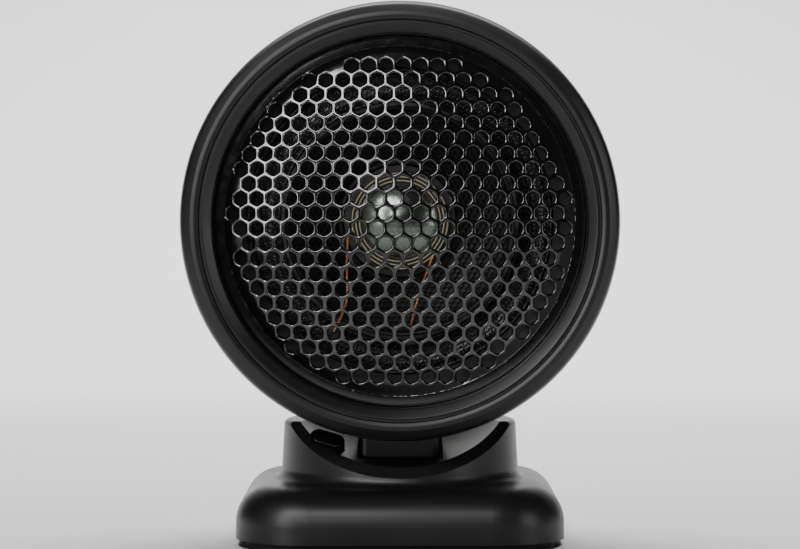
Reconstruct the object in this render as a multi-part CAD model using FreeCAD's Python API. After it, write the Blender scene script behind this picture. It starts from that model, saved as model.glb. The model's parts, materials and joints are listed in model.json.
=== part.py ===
import FreeCAD, Part

import math
import os

# Ceramic heater: a round fan-forced head that tilts on a small square base.
# Millimetres.  +Z is up, the front faces -Y, +X is to the right when seen from the front.
# The origin is on the table, under the middle of the base.

V = FreeCAD.Vector
UP = V(0, 0, 1)

# ---------------------------------------------------------------- driving sizes
# Base slab and its round turret
BASE_WIDTH = 116.0        # both ways
BASE_CORNER_R = 26.0      # corners seen from above
BASE_EDGE_R = 12.5        # rounded top edge
SLAB_TOP = 21.0
WALL = 2.6
PAD_THICK = 2.2
PAD_INSET = 3.4
SHELL_LIFT = 0.2          # the shell stays this far above the pad's top
PLATE_THICK = 3.0
PLATE_GAP = 0.3
TURRET_R = 43.6
TURRET_TAPER = 1.4        # the turret is this much narrower at its top
TURRET_TOP = 42.0
TURRET_BLEND = 3.5
TURRET_EDGE_R = 2.0

# Scooped bowl in the turret
BOWL_FRONT_Z = 27.6       # lowest point, behind the front lip
BOWL_CROSS_R = 60.0       # seen from the front
BOWL_LONG_R = 130.0       # seen from the side
LIP = 3.6                 # slanted front lip

# Tilt hinge
NECK_WIDTH = 29.5
NECK_DEPTH = 17.0
DRUM_R = 12.0
PIVOT_Y = -12.0
PIVOT_Z = 21.3
BOLT_R = 3.0
BOLT_FIT = 0.05
WASHER_ROOM = 0.57        # between the washers and the underside of the bowl
WASHER_THICK = 1.2
CHEEK_THICK = 2.4
CHEEK_R = 7.0
BRACKET_FLOOR = 2.0
BRACKET_FOOT = 8.0        # past the cheeks, for its screws
BRACKET_HALF_Y = 10.0
BRACKET_SCREW_OUT = 4.5   # past the cheeks
BRACKET_SCREW_Y = 6.0
BOLT_HEAD_R = 5.2
BOLT_HEAD = 2.6
NUT_R = 5.6               # over its corners
NUT_HEIGHT = 5.0
SPRING_WASHER = 1.4
SLOT_SIDE_GAP = 0.5
SLOT_REACH = 15.5         # half of the slot in the bowl, along Y

# Head: front ring and grille
RING_R = 77.0
RING_GAP = 9.6            # from the bowl's lowest point to the ring
RING_FRONT_Y = -52.0
RING_WIDTH = 11.4         # from the outside to the clear opening
RING_DEPTH = 17.0
RING_SKIRT = 2.6
GROOVE = 1.3
CHAMFER_RUN = 3.2
CHAMFER_DROP = 2.2
GRILLE_DEPTH = 12.5       # from the ring's front to the grille's border
GRILLE_THICK = 1.0
GRILLE_RISE = 12.4
GRILLE_BORDER = 4.2
GRILLE_FIT = 0.3
HOLE_R = 2.45
HOLE_PITCH = 6.15         # measured along the domed sheet
ROW_SHIFT = 0.18          # of a pitch, sideways, of the first row above the axis
CLAMP_THICK = 3.0

# Head: rear shell
SHELL_WALL = 2.4
SPIGOT_LENGTH = 9.5
SPIGOT_FIT = 0.4
BEZEL_SCREW_IN = 4.5      # in front of the ring's rear edge
BEZEL_HEAD_R = 2.0
BEZEL_SCREW_LENGTH = 4.2
SHELL_STRAIGHT = 11.0
SHELL_REAR_Y = 30.0
SHELL_REAR_R = 33.0
SHELL_BULGE = 12.8        # how far the rear curve stands out from a straight cone
REAR_SLOTS = 24
SIDE_SLOTS = 40
SLOT_WIDTH = 2.4

# Heating element
ELEMENT_R = 40.5
ELEMENT_INNER_R = 20.0
ELEMENT_THICK = 7.0
ELEMENT_INNER_Y = -24.0   # front face at the inner edge
ELEMENT_DISH = 9.0        # the outer edge stands this much further forward
ELECTRODE = 1.2
ELECTRODE_FIT = 0.2
GASKET_WIDTH = 12.0
GASKET_DIP = 4.0
GASKET_THICK = 1.3
FORMER_R = 17.6
DOME_R = 13.4
DOME_RISE = 4.6
DOME_GAP = 0.3            # from the dome to the first ridge
RIDGES = 3
RIDGE_HEIGHT = 1.0
SPIDER_Y = -15.5          # front face
SPIDER_THICK = 1.5
SPIDER_ARM = 9.0
SPIDER_TURN = 30.0
FINGER_IN = 5.7           # from the lug's screw in to the finger under the element
LUG_IN = 3.2              # from the duct's wall to the lug's screw
ELEMENT_SAG = 1.2         # how far the dish is fuller than a straight cone
STUD_R = 1.5
STUD_HEAD_R = 3.2
STUD_HEAD = 1.6

# Fan and motor
DUCT_WALL = 1.6
DUCT_REAR_Y = 5.0
FAN_R = 39.8
FAN_GAP = 1.6
FAN_BLADES = 7
HUB_R = 9.0
HUB_FRONT_Y = -6.0
HUB_REAR_Y = 3.0
SHAFT_R = 1.5
SHAFT_FIT = 0.04
MOTOR_R = 15.0
MOTOR_FRONT_Y = 7.0
MOUNT_THICK = 2.0
BUSH_R = 3.2
BUSH_LENGTH = 3.0
BUSH_SPAN = 14.0          # from the motor's front to the rear bush's far end
BUSH_PROUD = 2.4          # of the motor's front

# Small parts
SCREW_R = 1.5
SCREW_HEAD_R = 2.9
SCREW_HEAD = 1.7
SMALL_SCREW_R = 1.1
SMALL_HEAD_R = 1.9
SMALL_HEAD = 1.1
SCREW_LENGTH = 9.0
BOSS_IN = 16.0            # base screws, from the slab's sides
BOSS_R = 3.6
BOARD_POST_R = 2.6
BOARD_THICK = 1.6
BOARD_HALF_X = 26.0       # to the board's screws
BOARD_HALF_Y = 11.0
BOARD_EDGE = 4.0          # past the screws
BOARD_Y = 28.0
BOARD_LIFT = 3.0          # above the base plate
RELAY_HEIGHT = 8.5
CAPACITOR_R = 4.0
CAPACITOR_HEIGHT = 9.0
TERMINAL_HEIGHT = 6.5
TERMINAL_DEPTH = 8.0
GLAND_BORE_R = 3.5
GLAND_R = 4.6
GLAND_FLANGE = 0.9
GLAND_LENGTH = 9.0
LEAD_R = 0.45
BUTTON_LONG = 10.6
BUTTON_WIDE = 4.4
BUTTON_GAP = 0.3
BUTTON_TRAVEL = 1.2
BUTTON_TILT = 40.0        # how far its face looks up from level
BUTTON_REACH = 11.25      # from the neck's side to the button's middle
BUTTON_Y = -24.0
POD_WALL = 0.9
POD_PROUD = 1.7
POD_TAIL = 6.0            # how far the pod reaches past the shell's wall
PLUNGER_R = 2.4
PLUNGER_GAP = 0.35
PLUNGER_X = 38.0
PLUNGER_Y = 26.0
PLUNGER_TIP = 0.2         # pressed, just clear of the table
PLUNGER_ROOM = 2.8        # for its spring, above it
TOUCH = 0.02              # gap left between pieces that rest on each other

# ---------------------------------------------------------------- worked-out places
HALF = BASE_WIDTH / 2
BOSS_SPOT = HALF - BOSS_IN
SHELL_Z = PAD_THICK + SHELL_LIFT
PLATE_TOP = PAD_THICK + PLATE_THICK
HEAD_Z = BOWL_FRONT_Z + RING_GAP + RING_R
BOWL_LOW_Y = LIP - TURRET_R + TURRET_TAPER / 2
OPENING_R = RING_R - RING_WIDTH
GRILLE_Y = RING_FRONT_Y + GRILLE_DEPTH
GRILLE_R = OPENING_R + GROOVE
FIELD_R = OPENING_R - GRILLE_BORDER
GRILLE_DOME_R = (FIELD_R ** 2 + GRILLE_RISE ** 2) / (2 * GRILLE_RISE)
RING_REAR_Y = RING_FRONT_Y + RING_DEPTH
CLAMP_REAR_Y = GRILLE_Y + GRILLE_THICK + CLAMP_THICK
SPIGOT_R = RING_R - RING_SKIRT - 1.0
SHELL_R = RING_R - RING_SKIRT
SHELL_INNER_REAR_Y = SHELL_REAR_Y - SHELL_WALL
DUCT_R = FAN_R + FAN_GAP
CAVITY_R = OPENING_R + 3.6   # inside of the ring's inner wall, outside face
DUCT_FLANGE_Y = CLAMP_REAR_Y + 0.1
GASKET_INNER_R = ELEMENT_R + ELECTRODE + 2 * ELECTRODE_FIT
GASKET_OUTER_R = GASKET_INNER_R + GASKET_WIDTH
ELEMENT_OUTER_Y = ELEMENT_INNER_Y - ELEMENT_DISH
ELECTRODE_Y = ELEMENT_OUTER_Y - 1.0
SPIDER_REAR_Y = SPIDER_Y + SPIDER_THICK
FORMER_Y = ELEMENT_INNER_Y - 4.6
LUG_R = DUCT_R - LUG_IN
DRUM_BORE_R = BOLT_R + BOLT_FIT
BUTTON_X = -(NECK_WIDTH / 2 + BUTTON_REACH)
POD_DEPTH = WALL + POD_TAIL
POD_LONG = BUTTON_LONG + 2 * (BUTTON_GAP + POD_WALL)
POD_WIDE = BUTTON_WIDE + 2 * (BUTTON_GAP + POD_WALL)
BOARD_Z = PLATE_TOP + BOARD_LIFT
BEZEL_SCREW_Y = RING_REAR_Y - BEZEL_SCREW_IN
BUSH_REAR_Y = MOTOR_FRONT_Y + BUSH_SPAN
WASHER_X = NECK_WIDTH / 2 + TOUCH
CHEEK_X = WASHER_X + WASHER_THICK + TOUCH
CHEEK_OUT_X = CHEEK_X + CHEEK_THICK
PLUNGER_TOP = PLATE_TOP + 5.5
WELL_TOP = PLUNGER_TOP + PLUNGER_ROOM
GLAND_Z = PLATE_TOP + GLAND_R + GLAND_FLANGE + 0.3


# ---------------------------------------------------------------- helpers
def box(x0, x1, y0, y1, z0, z1):
    """Block between two corners."""
    return Part.makeBox(x1 - x0, y1 - y0, z1 - z0, V(x0, y0, z0))


def rod(radius, start, end):
    """Cylinder from one point to another."""
    span = end - start
    return Part.makeCylinder(radius, span.Length, start, span)


def tube(outer, inner, start, end):
    """Hollow cylinder from one point to another."""
    return rod(outer, start, end).cut(rod(inner, start, end))


def rod_y(radius, y0, y1, x=0.0, z=0.0):
    """Cylinder along Y, placed from the head's axis."""
    return rod(radius, V(x, y0, HEAD_Z + z), V(x, y1, HEAD_Z + z))


def tube_y(outer, inner, y0, y1):
    """Hollow cylinder about the head's axis."""
    return rod_y(outer, y0, y1).cut(rod_y(inner, y0, y1))


def turned(*steps):
    """Solid turned about the head's axis.

    Each step is a point (radius, y), or a pair of points for an arc: one on
    the way and the end.  The outline closes itself.
    """
    def place(point):
        return V(point[0], point[1], HEAD_Z)

    start = place(steps[0])
    here = start
    edges = []
    for step in steps[1:]:
        if isinstance(step[0], tuple):
            end = place(step[1])
            edges.append(Part.Arc(here, place(step[0]), end).toShape())
        else:
            end = place(step)
            edges.append(Part.LineSegment(here, end).toShape())
        here = end
    edges.append(Part.LineSegment(here, start).toShape())
    face = Part.Face(Part.Wire(edges))
    return face.revolve(V(0, 0, HEAD_Z), V(0, 1, 0), 360)


def around(shape, count, first=0.0):
    """Copies of a shape turned about the head's axis, as a list."""
    copies = []
    for i in range(count):
        copy = shape.copy()
        copy.rotate(V(0, 0, HEAD_Z), V(0, 1, 0), first + 360.0 * i / count)
        copies.append(copy)
    return copies


def slot_solid(length, width, low, high):
    """Round-ended bar along local X, from low to high in local Z."""
    reach = (length - width) / 2
    ends = [Part.makeCylinder(width / 2, high - low, V(side * reach, 0, low)) for side in (-1, 1)]
    middle = box(-reach, reach, -width / 2, width / 2, low, high)
    return middle.fuse(ends).removeSplitter()


def screw(under, direction, length, radius=SCREW_R, head_r=SCREW_HEAD_R, head=SCREW_HEAD):
    """Cross-slotted screw.

    under is the point below the head, where the shank starts, and direction
    is the way that the shank runs.
    """
    way = V(direction).normalize()
    shank = rod(radius, under, under + way * length)
    cap = rod(head_r, under - way * head, under)
    cap = cap.makeFillet(head * 0.45, [e for e in cap.Edges if on_plane(e, under - way * head, way)])
    side = way.cross(UP if abs(way.z) < 0.9 else V(1, 0, 0)).normalize()
    other = way.cross(side)
    for along, across in ((side, other), (other, side)):
        start = under - way * head - along * head_r * 0.55 - across * radius * 0.2
        slot = Part.makePolygon([
            start, start + along * head_r * 1.1, start + along * head_r * 1.1 + across * radius * 0.4,
            start + across * radius * 0.4, start])
        cap = cap.cut(Part.Face(slot).extrude(way * head * 0.5))
    return shank.fuse(cap).removeSplitter()


def on_plane(edge, point, normal):
    """True where all of an edge lies on a plane."""
    first, last = edge.ParameterRange
    spots = [edge.valueAt(first + (last - first) * t) for t in (0.0, 0.35, 0.7, 1.0)]
    return all(abs((spot - point).dot(normal)) < 1e-4 for spot in spots)


def pipe(points, radius):
    """Round wire along straight runs joined by tangent arcs."""
    edges = []
    here = points[0]
    for before, corner, after in zip(points, points[1:], points[2:]):
        back = (before - corner)
        ahead = (after - corner)
        turn = math.pi - back.getAngle(ahead)
        run = min(back.Length, ahead.Length)
        trim = 0.45 * run
        bend = trim / math.tan(turn / 2)
        back.normalize()
        ahead.normalize()
        arc_start = corner + back * trim
        arc_end = corner + ahead * trim
        middle_way = (back + ahead).normalize()
        centre = corner + middle_way * math.hypot(trim, bend)
        middle = centre - middle_way * bend
        edges.append(Part.LineSegment(here, arc_start).toShape())
        edges.append(Part.Arc(arc_start, middle, arc_end).toShape())
        here = arc_end
    edges.append(Part.LineSegment(here, points[-1]).toShape())
    spine = Part.Wire(edges)
    section = Part.Wire(Part.makeCircle(radius, points[0], points[1] - points[0]))
    return spine.makePipeShell([section], True, False)


# ---------------------------------------------------------------- base
def bowl_tool(inset):
    """Solid that scoops the bowl; inset lowers its surface."""
    cross = BOWL_CROSS_R + inset
    sweep_r = BOWL_LONG_R - BOWL_CROSS_R
    centre = V(0, BOWL_LOW_Y, BOWL_FRONT_Z + BOWL_LONG_R)
    return Part.makeTorus(sweep_r, cross, centre, V(1, 0, 0))


def bowl_height(x, y):
    """Height of the bowl's surface above a point of the plan."""
    cross = math.sqrt(BOWL_CROSS_R ** 2 - x ** 2)
    reach = BOWL_LONG_R - BOWL_CROSS_R + cross
    return BOWL_FRONT_Z + BOWL_LONG_R - math.sqrt(reach ** 2 - (y - BOWL_LOW_Y) ** 2)


def rounded_block(half, corner, low, high):
    """Square block with rounded upright corners."""
    block = box(-half, half, -half, half, low, high)
    upright = [e for e in block.Edges if abs(e.tangentAt(e.FirstParameter).z) > 0.9]
    return block.makeFillet(corner, upright)


def base_form(inset, low):
    """Slab and turret with the bowl scooped out, all faces moved in by inset."""
    slab_top = SLAB_TOP - inset
    slab = rounded_block(HALF - inset, BASE_CORNER_R - inset, low, slab_top)
    rim = [e for e in slab.Edges if on_plane(e, V(0, 0, slab_top), UP)]
    slab = slab.makeFillet(BASE_EDGE_R - inset, rim)
    turret_low = SLAB_TOP - BASE_EDGE_R / 2
    turret = Part.makeCone(
        TURRET_R - inset, TURRET_R - TURRET_TAPER - inset,
        TURRET_TOP - inset - turret_low, V(0, 0, turret_low), UP)
    form = slab.fuse(turret).removeSplitter()
    return form.cut(bowl_tool(inset))


def base_blends(form):
    """Concave blend at the turret's foot and the slanted lip at the bowl's front."""
    foot = [e for e in form.Edges if on_plane(e, V(0, 0, SLAB_TOP), UP) and is_round(e, TURRET_R)]
    form = form.makeFillet(TURRET_BLEND, foot)
    lip = [e for e in form.Edges if is_lip(e)]
    form = form.makeChamfer(LIP, lip)
    top_r = TURRET_R - TURRET_TAPER
    rim = [e for e in form.Edges if on_plane(e, V(0, 0, TURRET_TOP), UP) and is_rim(e, top_r)]
    return form.makeFillet(TURRET_EDGE_R, rim)


def is_rim(edge, radius):
    """True for an edge whose middle lies this far from the upright axis."""
    first, last = edge.ParameterRange
    middle = edge.valueAt((first + last) / 2)
    return abs(math.hypot(middle.x, middle.y) - radius) < 0.1


def is_round(edge, radius):
    """True for a circle of about this radius."""
    curve = edge.Curve
    return hasattr(curve, "Radius") and abs(curve.Radius - radius) < TURRET_TAPER


def is_lip(edge):
    """True for the bowl's edge on the turret's side, below its top."""
    first, last = edge.ParameterRange
    middle = edge.valueAt((first + last) / 2)
    plan_r = math.hypot(middle.x, middle.y)
    return (BOWL_FRONT_Z - 1 < middle.z < TURRET_TOP - 1 and middle.y < 0
            and abs(plan_r - TURRET_R) < TURRET_TAPER + 0.3)


def button_place():
    """Placement whose X runs along the button, and Z out of its face."""
    slope = math.atan2(-BUTTON_X, math.sqrt(BOWL_CROSS_R ** 2 - BUTTON_X ** 2))
    tilt = math.radians(BUTTON_TILT)
    out = V(0, -math.cos(tilt), math.sin(tilt))
    along = V(math.cos(slope), 0, -math.sin(slope))
    along = (along - out * along.dot(out)).normalize()
    turn = FreeCAD.Rotation(along, out.cross(along), out, "ZXY")
    spot = V(BUTTON_X, BUTTON_Y, bowl_height(BUTTON_X, BUTTON_Y) + 0.8)
    return FreeCAD.Placement(spot, turn)


def at_button(shape):
    """Moves a shape from the button's own frame to the base."""
    shape.Placement = button_place().multiply(shape.Placement)
    return shape


def corners(spot_x, spot_y):
    """Four points of a rectangle about the origin."""
    return [(side * spot_x, end * spot_y) for side in (-1, 1) for end in (-1, 1)]


def base_shell():
    shell = base_blends(base_form(0.0, SHELL_Z))
    shell = shell.cut(base_form(WALL, SHELL_Z - 1))
    posts = []
    for x, y in corners(BOSS_SPOT, BOSS_SPOT):
        post = tube(BOSS_R, SCREW_R, V(x, y, PLATE_TOP + TOUCH), V(x, y, SLAB_TOP - WALL))
        posts.append(post)
    shell = shell.fuse(posts)
    half_x = NECK_WIDTH / 2 + SLOT_SIDE_GAP
    shell = shell.cut(box(-half_x, half_x, PIVOT_Y - SLOT_REACH, PIVOT_Y + SLOT_REACH,
                          PIVOT_Z, TURRET_TOP + 1))
    shell = shell.cut(at_button(slot_solid(POD_LONG + 0.1, POD_WIDE + 0.1, -POD_DEPTH, POD_PROUD + 6)))
    return shell.cut(rod(GLAND_R + 0.05, V(0, HALF - GLAND_LENGTH + 1.5, GLAND_Z), V(0, HALF + 1, GLAND_Z)))


def base_plate():
    half = HALF - WALL - PLATE_GAP
    plate = rounded_block(half, BASE_CORNER_R - WALL - PLATE_GAP, PAD_THICK, PLATE_TOP)
    for x, y in corners(BOSS_SPOT, BOSS_SPOT):
        plate = plate.cut(rod(SCREW_R + 0.2, V(x, y, 0), V(x, y, PLATE_TOP + 1)))
        plate = plate.cut(rod(SCREW_HEAD_R + 0.2, V(x, y, 0), V(x, y, PAD_THICK + SCREW_HEAD)))
    for x, y in corners(BOARD_HALF_X, BOARD_HALF_Y):
        plate = plate.fuse(rod(BOARD_POST_R, V(x, BOARD_Y + y, PLATE_TOP - 1), V(x, BOARD_Y + y, BOARD_Z)))
        plate = plate.cut(rod(SCREW_R, V(x, BOARD_Y + y, PAD_THICK + 1), V(x, BOARD_Y + y, BOARD_Z + 1)))
    hole = rod(PLUNGER_R + PLUNGER_GAP, V(PLUNGER_X, PLUNGER_Y, 0), V(PLUNGER_X, PLUNGER_Y, 50))
    plate = plate.cut(hole)
    return plate.removeSplitter()


def foot_pad():
    half = HALF - PAD_INSET
    pad = rounded_block(half, BASE_CORNER_R - PAD_INSET, 0, PAD_THICK - TOUCH)
    hole = rod(PLUNGER_R + 2 * PLUNGER_GAP, V(PLUNGER_X, PLUNGER_Y, -1), V(PLUNGER_X, PLUNGER_Y, 5))
    return pad.cut(hole)


def base_screws():
    under = PAD_THICK + SCREW_HEAD
    return [screw(V(x, y, under), UP, SCREW_LENGTH) for x, y in corners(BOSS_SPOT, BOSS_SPOT)]


def ballast_plate():
    front = -(HALF - WALL - 5.0)
    rear = PIVOT_Y - DRUM_R - 4.0
    return box(-34, 34, front, rear, PLATE_TOP + TOUCH, PLATE_TOP + 6.0)


def cord_gland():
    rear = V(0, HALF, GLAND_Z)
    front = V(0, HALF - GLAND_LENGTH, GLAND_Z)
    body = rod(GLAND_R, rear, front)
    flange = rod(GLAND_R + GLAND_FLANGE, front, front + V(0, 1, 0))
    body = body.fuse(flange)
    return body.cut(rod(GLAND_BORE_R, rear + V(0, 1, 0), front - V(0, 1, 0))).removeSplitter()


def prism(radius, sides, start, end):
    """Regular prism between two points; radius reaches its corners."""
    way = end - start
    side = way.cross(UP if abs(way.normalize().z) < 0.9 else V(1, 0, 0)).normalize()
    other = V(way).normalize().cross(side)
    points = []
    for i in range(sides + 1):
        angle = 2 * math.pi * i / sides
        points.append(start + side * radius * math.cos(angle) + other * radius * math.sin(angle))
    return Part.Face(Part.makePolygon(points)).extrude(end - start)


def control_board():
    half_x = BOARD_HALF_X + BOARD_EDGE
    half_y = BOARD_HALF_Y + BOARD_EDGE
    board = box(-half_x, half_x, BOARD_Y - half_y, BOARD_Y + half_y, BOARD_Z + TOUCH, BOARD_Z + BOARD_THICK)
    for x, y in corners(BOARD_HALF_X, BOARD_HALF_Y):
        board = board.cut(rod(SCREW_R + 0.1, V(x, BOARD_Y + y, 0), V(x, BOARD_Y + y, 40)))
    return board


def board_screws():
    under = BOARD_Z + BOARD_THICK + TOUCH
    return [screw(V(x, BOARD_Y + y, under), V(0, 0, -1), 4.0)
            for x, y in corners(BOARD_HALF_X, BOARD_HALF_Y)]


def board_relay():
    top = BOARD_Z + BOARD_THICK + TOUCH
    relay = box(-14, 4, BOARD_Y - 6, BOARD_Y + 4, top, top + RELAY_HEIGHT)
    return relay.makeFillet(0.8, [e for e in relay.Edges if on_plane(e, V(0, 0, top + RELAY_HEIGHT), UP)])


def board_capacitor():
    top = BOARD_Z + BOARD_THICK + TOUCH
    foot = V(13, BOARD_Y, top)
    head = foot + UP * CAPACITOR_HEIGHT
    can = rod(CAPACITOR_R, foot, head)
    return can.makeFillet(0.8, [e for e in can.Edges if on_plane(e, head, UP)])


def terminal_block():
    rear = BOARD_Y + BOARD_HALF_Y + BOARD_EDGE - 1.0
    middle_y = rear - TERMINAL_DEPTH / 2
    low = BOARD_Z + BOARD_THICK + TOUCH
    block = box(-20, -2, rear - TERMINAL_DEPTH, rear, low, low + TERMINAL_HEIGHT)
    for x in (-16, -11, -6):
        block = block.cut(rod(1.6, V(x, middle_y, low + 3), V(x, middle_y, low + TERMINAL_HEIGHT + 1)))
    return block


def pivot_bracket():
    low = PLATE_TOP + TOUCH
    foot_x = CHEEK_OUT_X + BRACKET_FOOT
    bracket = box(-foot_x, foot_x, PIVOT_Y - BRACKET_HALF_Y, PIVOT_Y + BRACKET_HALF_Y,
                  low, low + BRACKET_FLOOR)
    for side in (-1, 1):
        inner = side * CHEEK_X
        outer = side * CHEEK_OUT_X
        cheek = box(min(inner, outer), max(inner, outer), PIVOT_Y - CHEEK_R, PIVOT_Y + CHEEK_R,
                    low, PIVOT_Z)
        cheek = cheek.fuse(rod(CHEEK_R, V(inner, PIVOT_Y, PIVOT_Z), V(outer, PIVOT_Y, PIVOT_Z)))
        bracket = bracket.fuse(cheek)
    bracket = bracket.cut(hinge_rod(DRUM_BORE_R, -foot_x, foot_x))
    for x, y in bracket_screw_spots():
        bracket = bracket.cut(rod(SCREW_R, V(x, y, 0), V(x, y, PIVOT_Z)))
    return bracket.removeSplitter()


def bracket_screw_spots():
    return [(x, PIVOT_Y + y) for x, y in corners(CHEEK_OUT_X + BRACKET_SCREW_OUT, BRACKET_SCREW_Y)]


def bracket_screws():
    under = PLATE_TOP + TOUCH + BRACKET_FLOOR
    return [screw(V(x, y, under), V(0, 0, -1), BRACKET_FLOOR + TOUCH, radius=SCREW_R - 0.1)
            for x, y in bracket_screw_spots()]


def hinge_rod(radius, x0, x1):
    """Cylinder about the tilt axis between two X positions."""
    return rod(radius, V(x0, PIVOT_Y, PIVOT_Z), V(x1, PIVOT_Y, PIVOT_Z))


def hinge_ring(radius, x0, x1):
    """Ring on the pivot bolt between two X positions."""
    return hinge_rod(radius, x0, x1).cut(hinge_rod(DRUM_BORE_R, x0, x1))


def pivot_bolt():
    head_x = -CHEEK_OUT_X - TOUCH
    end_x = CHEEK_OUT_X + SPRING_WASHER + NUT_HEIGHT + 1.1
    bolt = hinge_rod(BOLT_R, head_x, end_x)
    return bolt.fuse(hinge_rod(BOLT_HEAD_R, head_x, head_x - BOLT_HEAD)).removeSplitter()


def friction_washers():
    """Two washers that just clear the underside of the bowl."""
    slot_side = NECK_WIDTH / 2 + SLOT_SIDE_GAP
    radius = bowl_height(slot_side, PIVOT_Y) - WALL - WASHER_ROOM - PIVOT_Z
    return [hinge_ring(radius, side * WASHER_X, side * (WASHER_X + WASHER_THICK)) for side in (-1, 1)]


def spring_washer():
    return hinge_ring(NUT_R, CHEEK_OUT_X + TOUCH, CHEEK_OUT_X + SPRING_WASHER)


def pivot_nut():
    start_x = CHEEK_OUT_X + SPRING_WASHER + 0.1
    end_x = start_x + NUT_HEIGHT
    nut = prism(NUT_R, 6, V(start_x, PIVOT_Y, PIVOT_Z), V(end_x, PIVOT_Y, PIVOT_Z))
    return nut.cut(hinge_rod(BOLT_R, start_x - 1, end_x + 1))


def switch_bezel():
    pod = slot_solid(POD_LONG, POD_WIDE, -POD_DEPTH, POD_PROUD)
    mouth = slot_solid(BUTTON_LONG + 2 * BUTTON_GAP, BUTTON_WIDE + 2 * BUTTON_GAP, -POD_DEPTH, POD_PROUD)
    pod = pod.cut(mouth)
    return at_button(pod)


def power_button():
    cap = slot_solid(BUTTON_LONG, BUTTON_WIDE, -4.0, POD_PROUD + 0.2)
    face = [e for e in cap.Edges if on_plane(e, V(0, 0, POD_PROUD + 0.2), UP)]
    cap = cap.makeFillet(0.5, face)
    stem = rod(1.3, V(0, 0, -POD_DEPTH + BUTTON_TRAVEL + 0.1), V(0, 0, -3.5))
    return at_button(cap.fuse(stem).removeSplitter())


def button_switch():
    body = box(-4.8, 4.8, -2.7, 2.7, -POD_DEPTH - 5, -POD_DEPTH - TOUCH)
    legs = [box(x - 0.3, x + 0.3, -1, 1, -POD_DEPTH - 7.5, -POD_DEPTH - 4.9) for x in (-3, 3)]
    return at_button(body.fuse(legs).removeSplitter())


def tip_switch():
    body = box(PLUNGER_X - 5, PLUNGER_X + 5, PLUNGER_Y - 5, PLUNGER_Y + 5, PLATE_TOP + TOUCH, WELL_TOP + 3)
    well = rod(PLUNGER_R + PLUNGER_GAP, V(PLUNGER_X, PLUNGER_Y, 0), V(PLUNGER_X, PLUNGER_Y, WELL_TOP))
    return body.cut(well)


def tip_plunger():
    pin = rod(PLUNGER_R, V(PLUNGER_X, PLUNGER_Y, PLUNGER_TIP), V(PLUNGER_X, PLUNGER_Y, PLUNGER_TOP))
    return pin.makeFillet(0.9, [e for e in pin.Edges if on_plane(e, V(0, 0, PLUNGER_TIP), UP)])


def plunger_spring():
    """Light coil between the plunger's top and the roof of its well."""
    low = PLUNGER_TOP + 0.25
    height = WELL_TOP - PLUNGER_TOP - 0.5
    coil_r = PLUNGER_R - 0.7
    wire = Part.makeHelix(height / 3, height, coil_r)
    section = Part.Wire(Part.makeCircle(0.2, V(coil_r, 0, 0), V(0, 1, 0)))
    coil = Part.Wire(wire.Edges).makePipeShell([section], True, True)
    coil.translate(V(PLUNGER_X, PLUNGER_Y, low))
    return coil


# ---------------------------------------------------------------- neck and casings
def shell_profile(inset):
    """Outside of the rear shell, moved in by inset, as steps for turned()."""
    straight_y = RING_REAR_Y + SHELL_STRAIGHT
    start = (SHELL_R - inset, straight_y)
    end = (SHELL_REAR_R - inset * 0.4, SHELL_REAR_Y - inset)
    mid_r = (start[0] + end[0]) / 2
    mid_y = (start[1] + end[1]) / 2
    span = math.hypot(end[0] - start[0], end[1] - start[1])
    out_r = (end[1] - start[1]) / span
    out_y = (start[0] - end[0]) / span
    return start, (mid_r + out_r * SHELL_BULGE, mid_y + out_y * SHELL_BULGE), end


def shell_radius(y, inset):
    """Radius of the curved part of the rear shell at a place along its depth."""
    points = [V(r, at_y, 0) for r, at_y in shell_profile(inset)]
    curve = Part.Arc(*points).toShape().Curve
    circle_r = curve.Radius
    centre = curve.Center
    return centre.x + math.sqrt(circle_r ** 2 - (y - centre.y) ** 2)


def shell_form(inset, front_y):
    """Solid inside of the rear shell's outer surface, moved in by inset."""
    start, middle, end = shell_profile(inset)
    return turned((0, front_y), (SHELL_R - inset, front_y), start, (middle, end), (0, end[1]))


def rear_shell():
    lip_y = RING_REAR_Y + 0.3
    shell = shell_form(0.0, lip_y).cut(shell_form(SHELL_WALL, lip_y - 1))
    spigot = tube_y(SPIGOT_R - SPIGOT_FIT, SPIGOT_R - SPIGOT_FIT - SHELL_WALL,
                    RING_REAR_Y - SPIGOT_LENGTH, lip_y + 3)
    shell = shell.fuse(spigot)
    rear_cut = box(SHELL_REAR_R * 0.5, SHELL_REAR_R - 1.5, SHELL_INNER_REAR_Y - 1, SHELL_REAR_Y + 1,
                   HEAD_Z - SLOT_WIDTH / 2, HEAD_Z + SLOT_WIDTH / 2)
    cuts = around(rear_cut, REAR_SLOTS, 180.0 / REAR_SLOTS)
    side_cut = box(SHELL_REAR_R + 3.5, SHELL_R, SHELL_REAR_Y - 28, SHELL_REAR_Y - 5,
                   HEAD_Z - SLOT_WIDTH / 2, HEAD_Z + SLOT_WIDTH / 2)
    low = around(side_cut, SIDE_SLOTS, 180.0 / SIDE_SLOTS)
    cuts += [cut for cut in low if not near_neck(cut)]
    shell = shell.cut(cuts)
    for x, y in neck_screw_spots():
        shell = shell.cut(rod(SCREW_R + 0.1, V(x, y, HEAD_Z - SHELL_R - 5), V(x, y, HEAD_Z - 40)))
    for spot in mount_spots():
        shell = shell.cut(rod(SCREW_R * 0.85, spot, spot + V(0, SHELL_WALL * 0.6, 0)))
    for hole in around(bezel_screw_hole(), 4, 45):
        shell = shell.cut(hole)
    return shell.removeSplitter()


def near_neck(cut):
    """True for a side slot that would open over the neck."""
    middle = cut.BoundBox.Center
    return middle.z < HEAD_Z and abs(middle.x) < NECK_WIDTH / 2 + SLOT_WIDTH


def bezel_screw_hole():
    low = V(0, BEZEL_SCREW_Y, HEAD_Z + SPIGOT_R - 6)
    return rod(SMALL_SCREW_R, low, low + UP * (RING_R - SPIGOT_R + 7))


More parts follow.
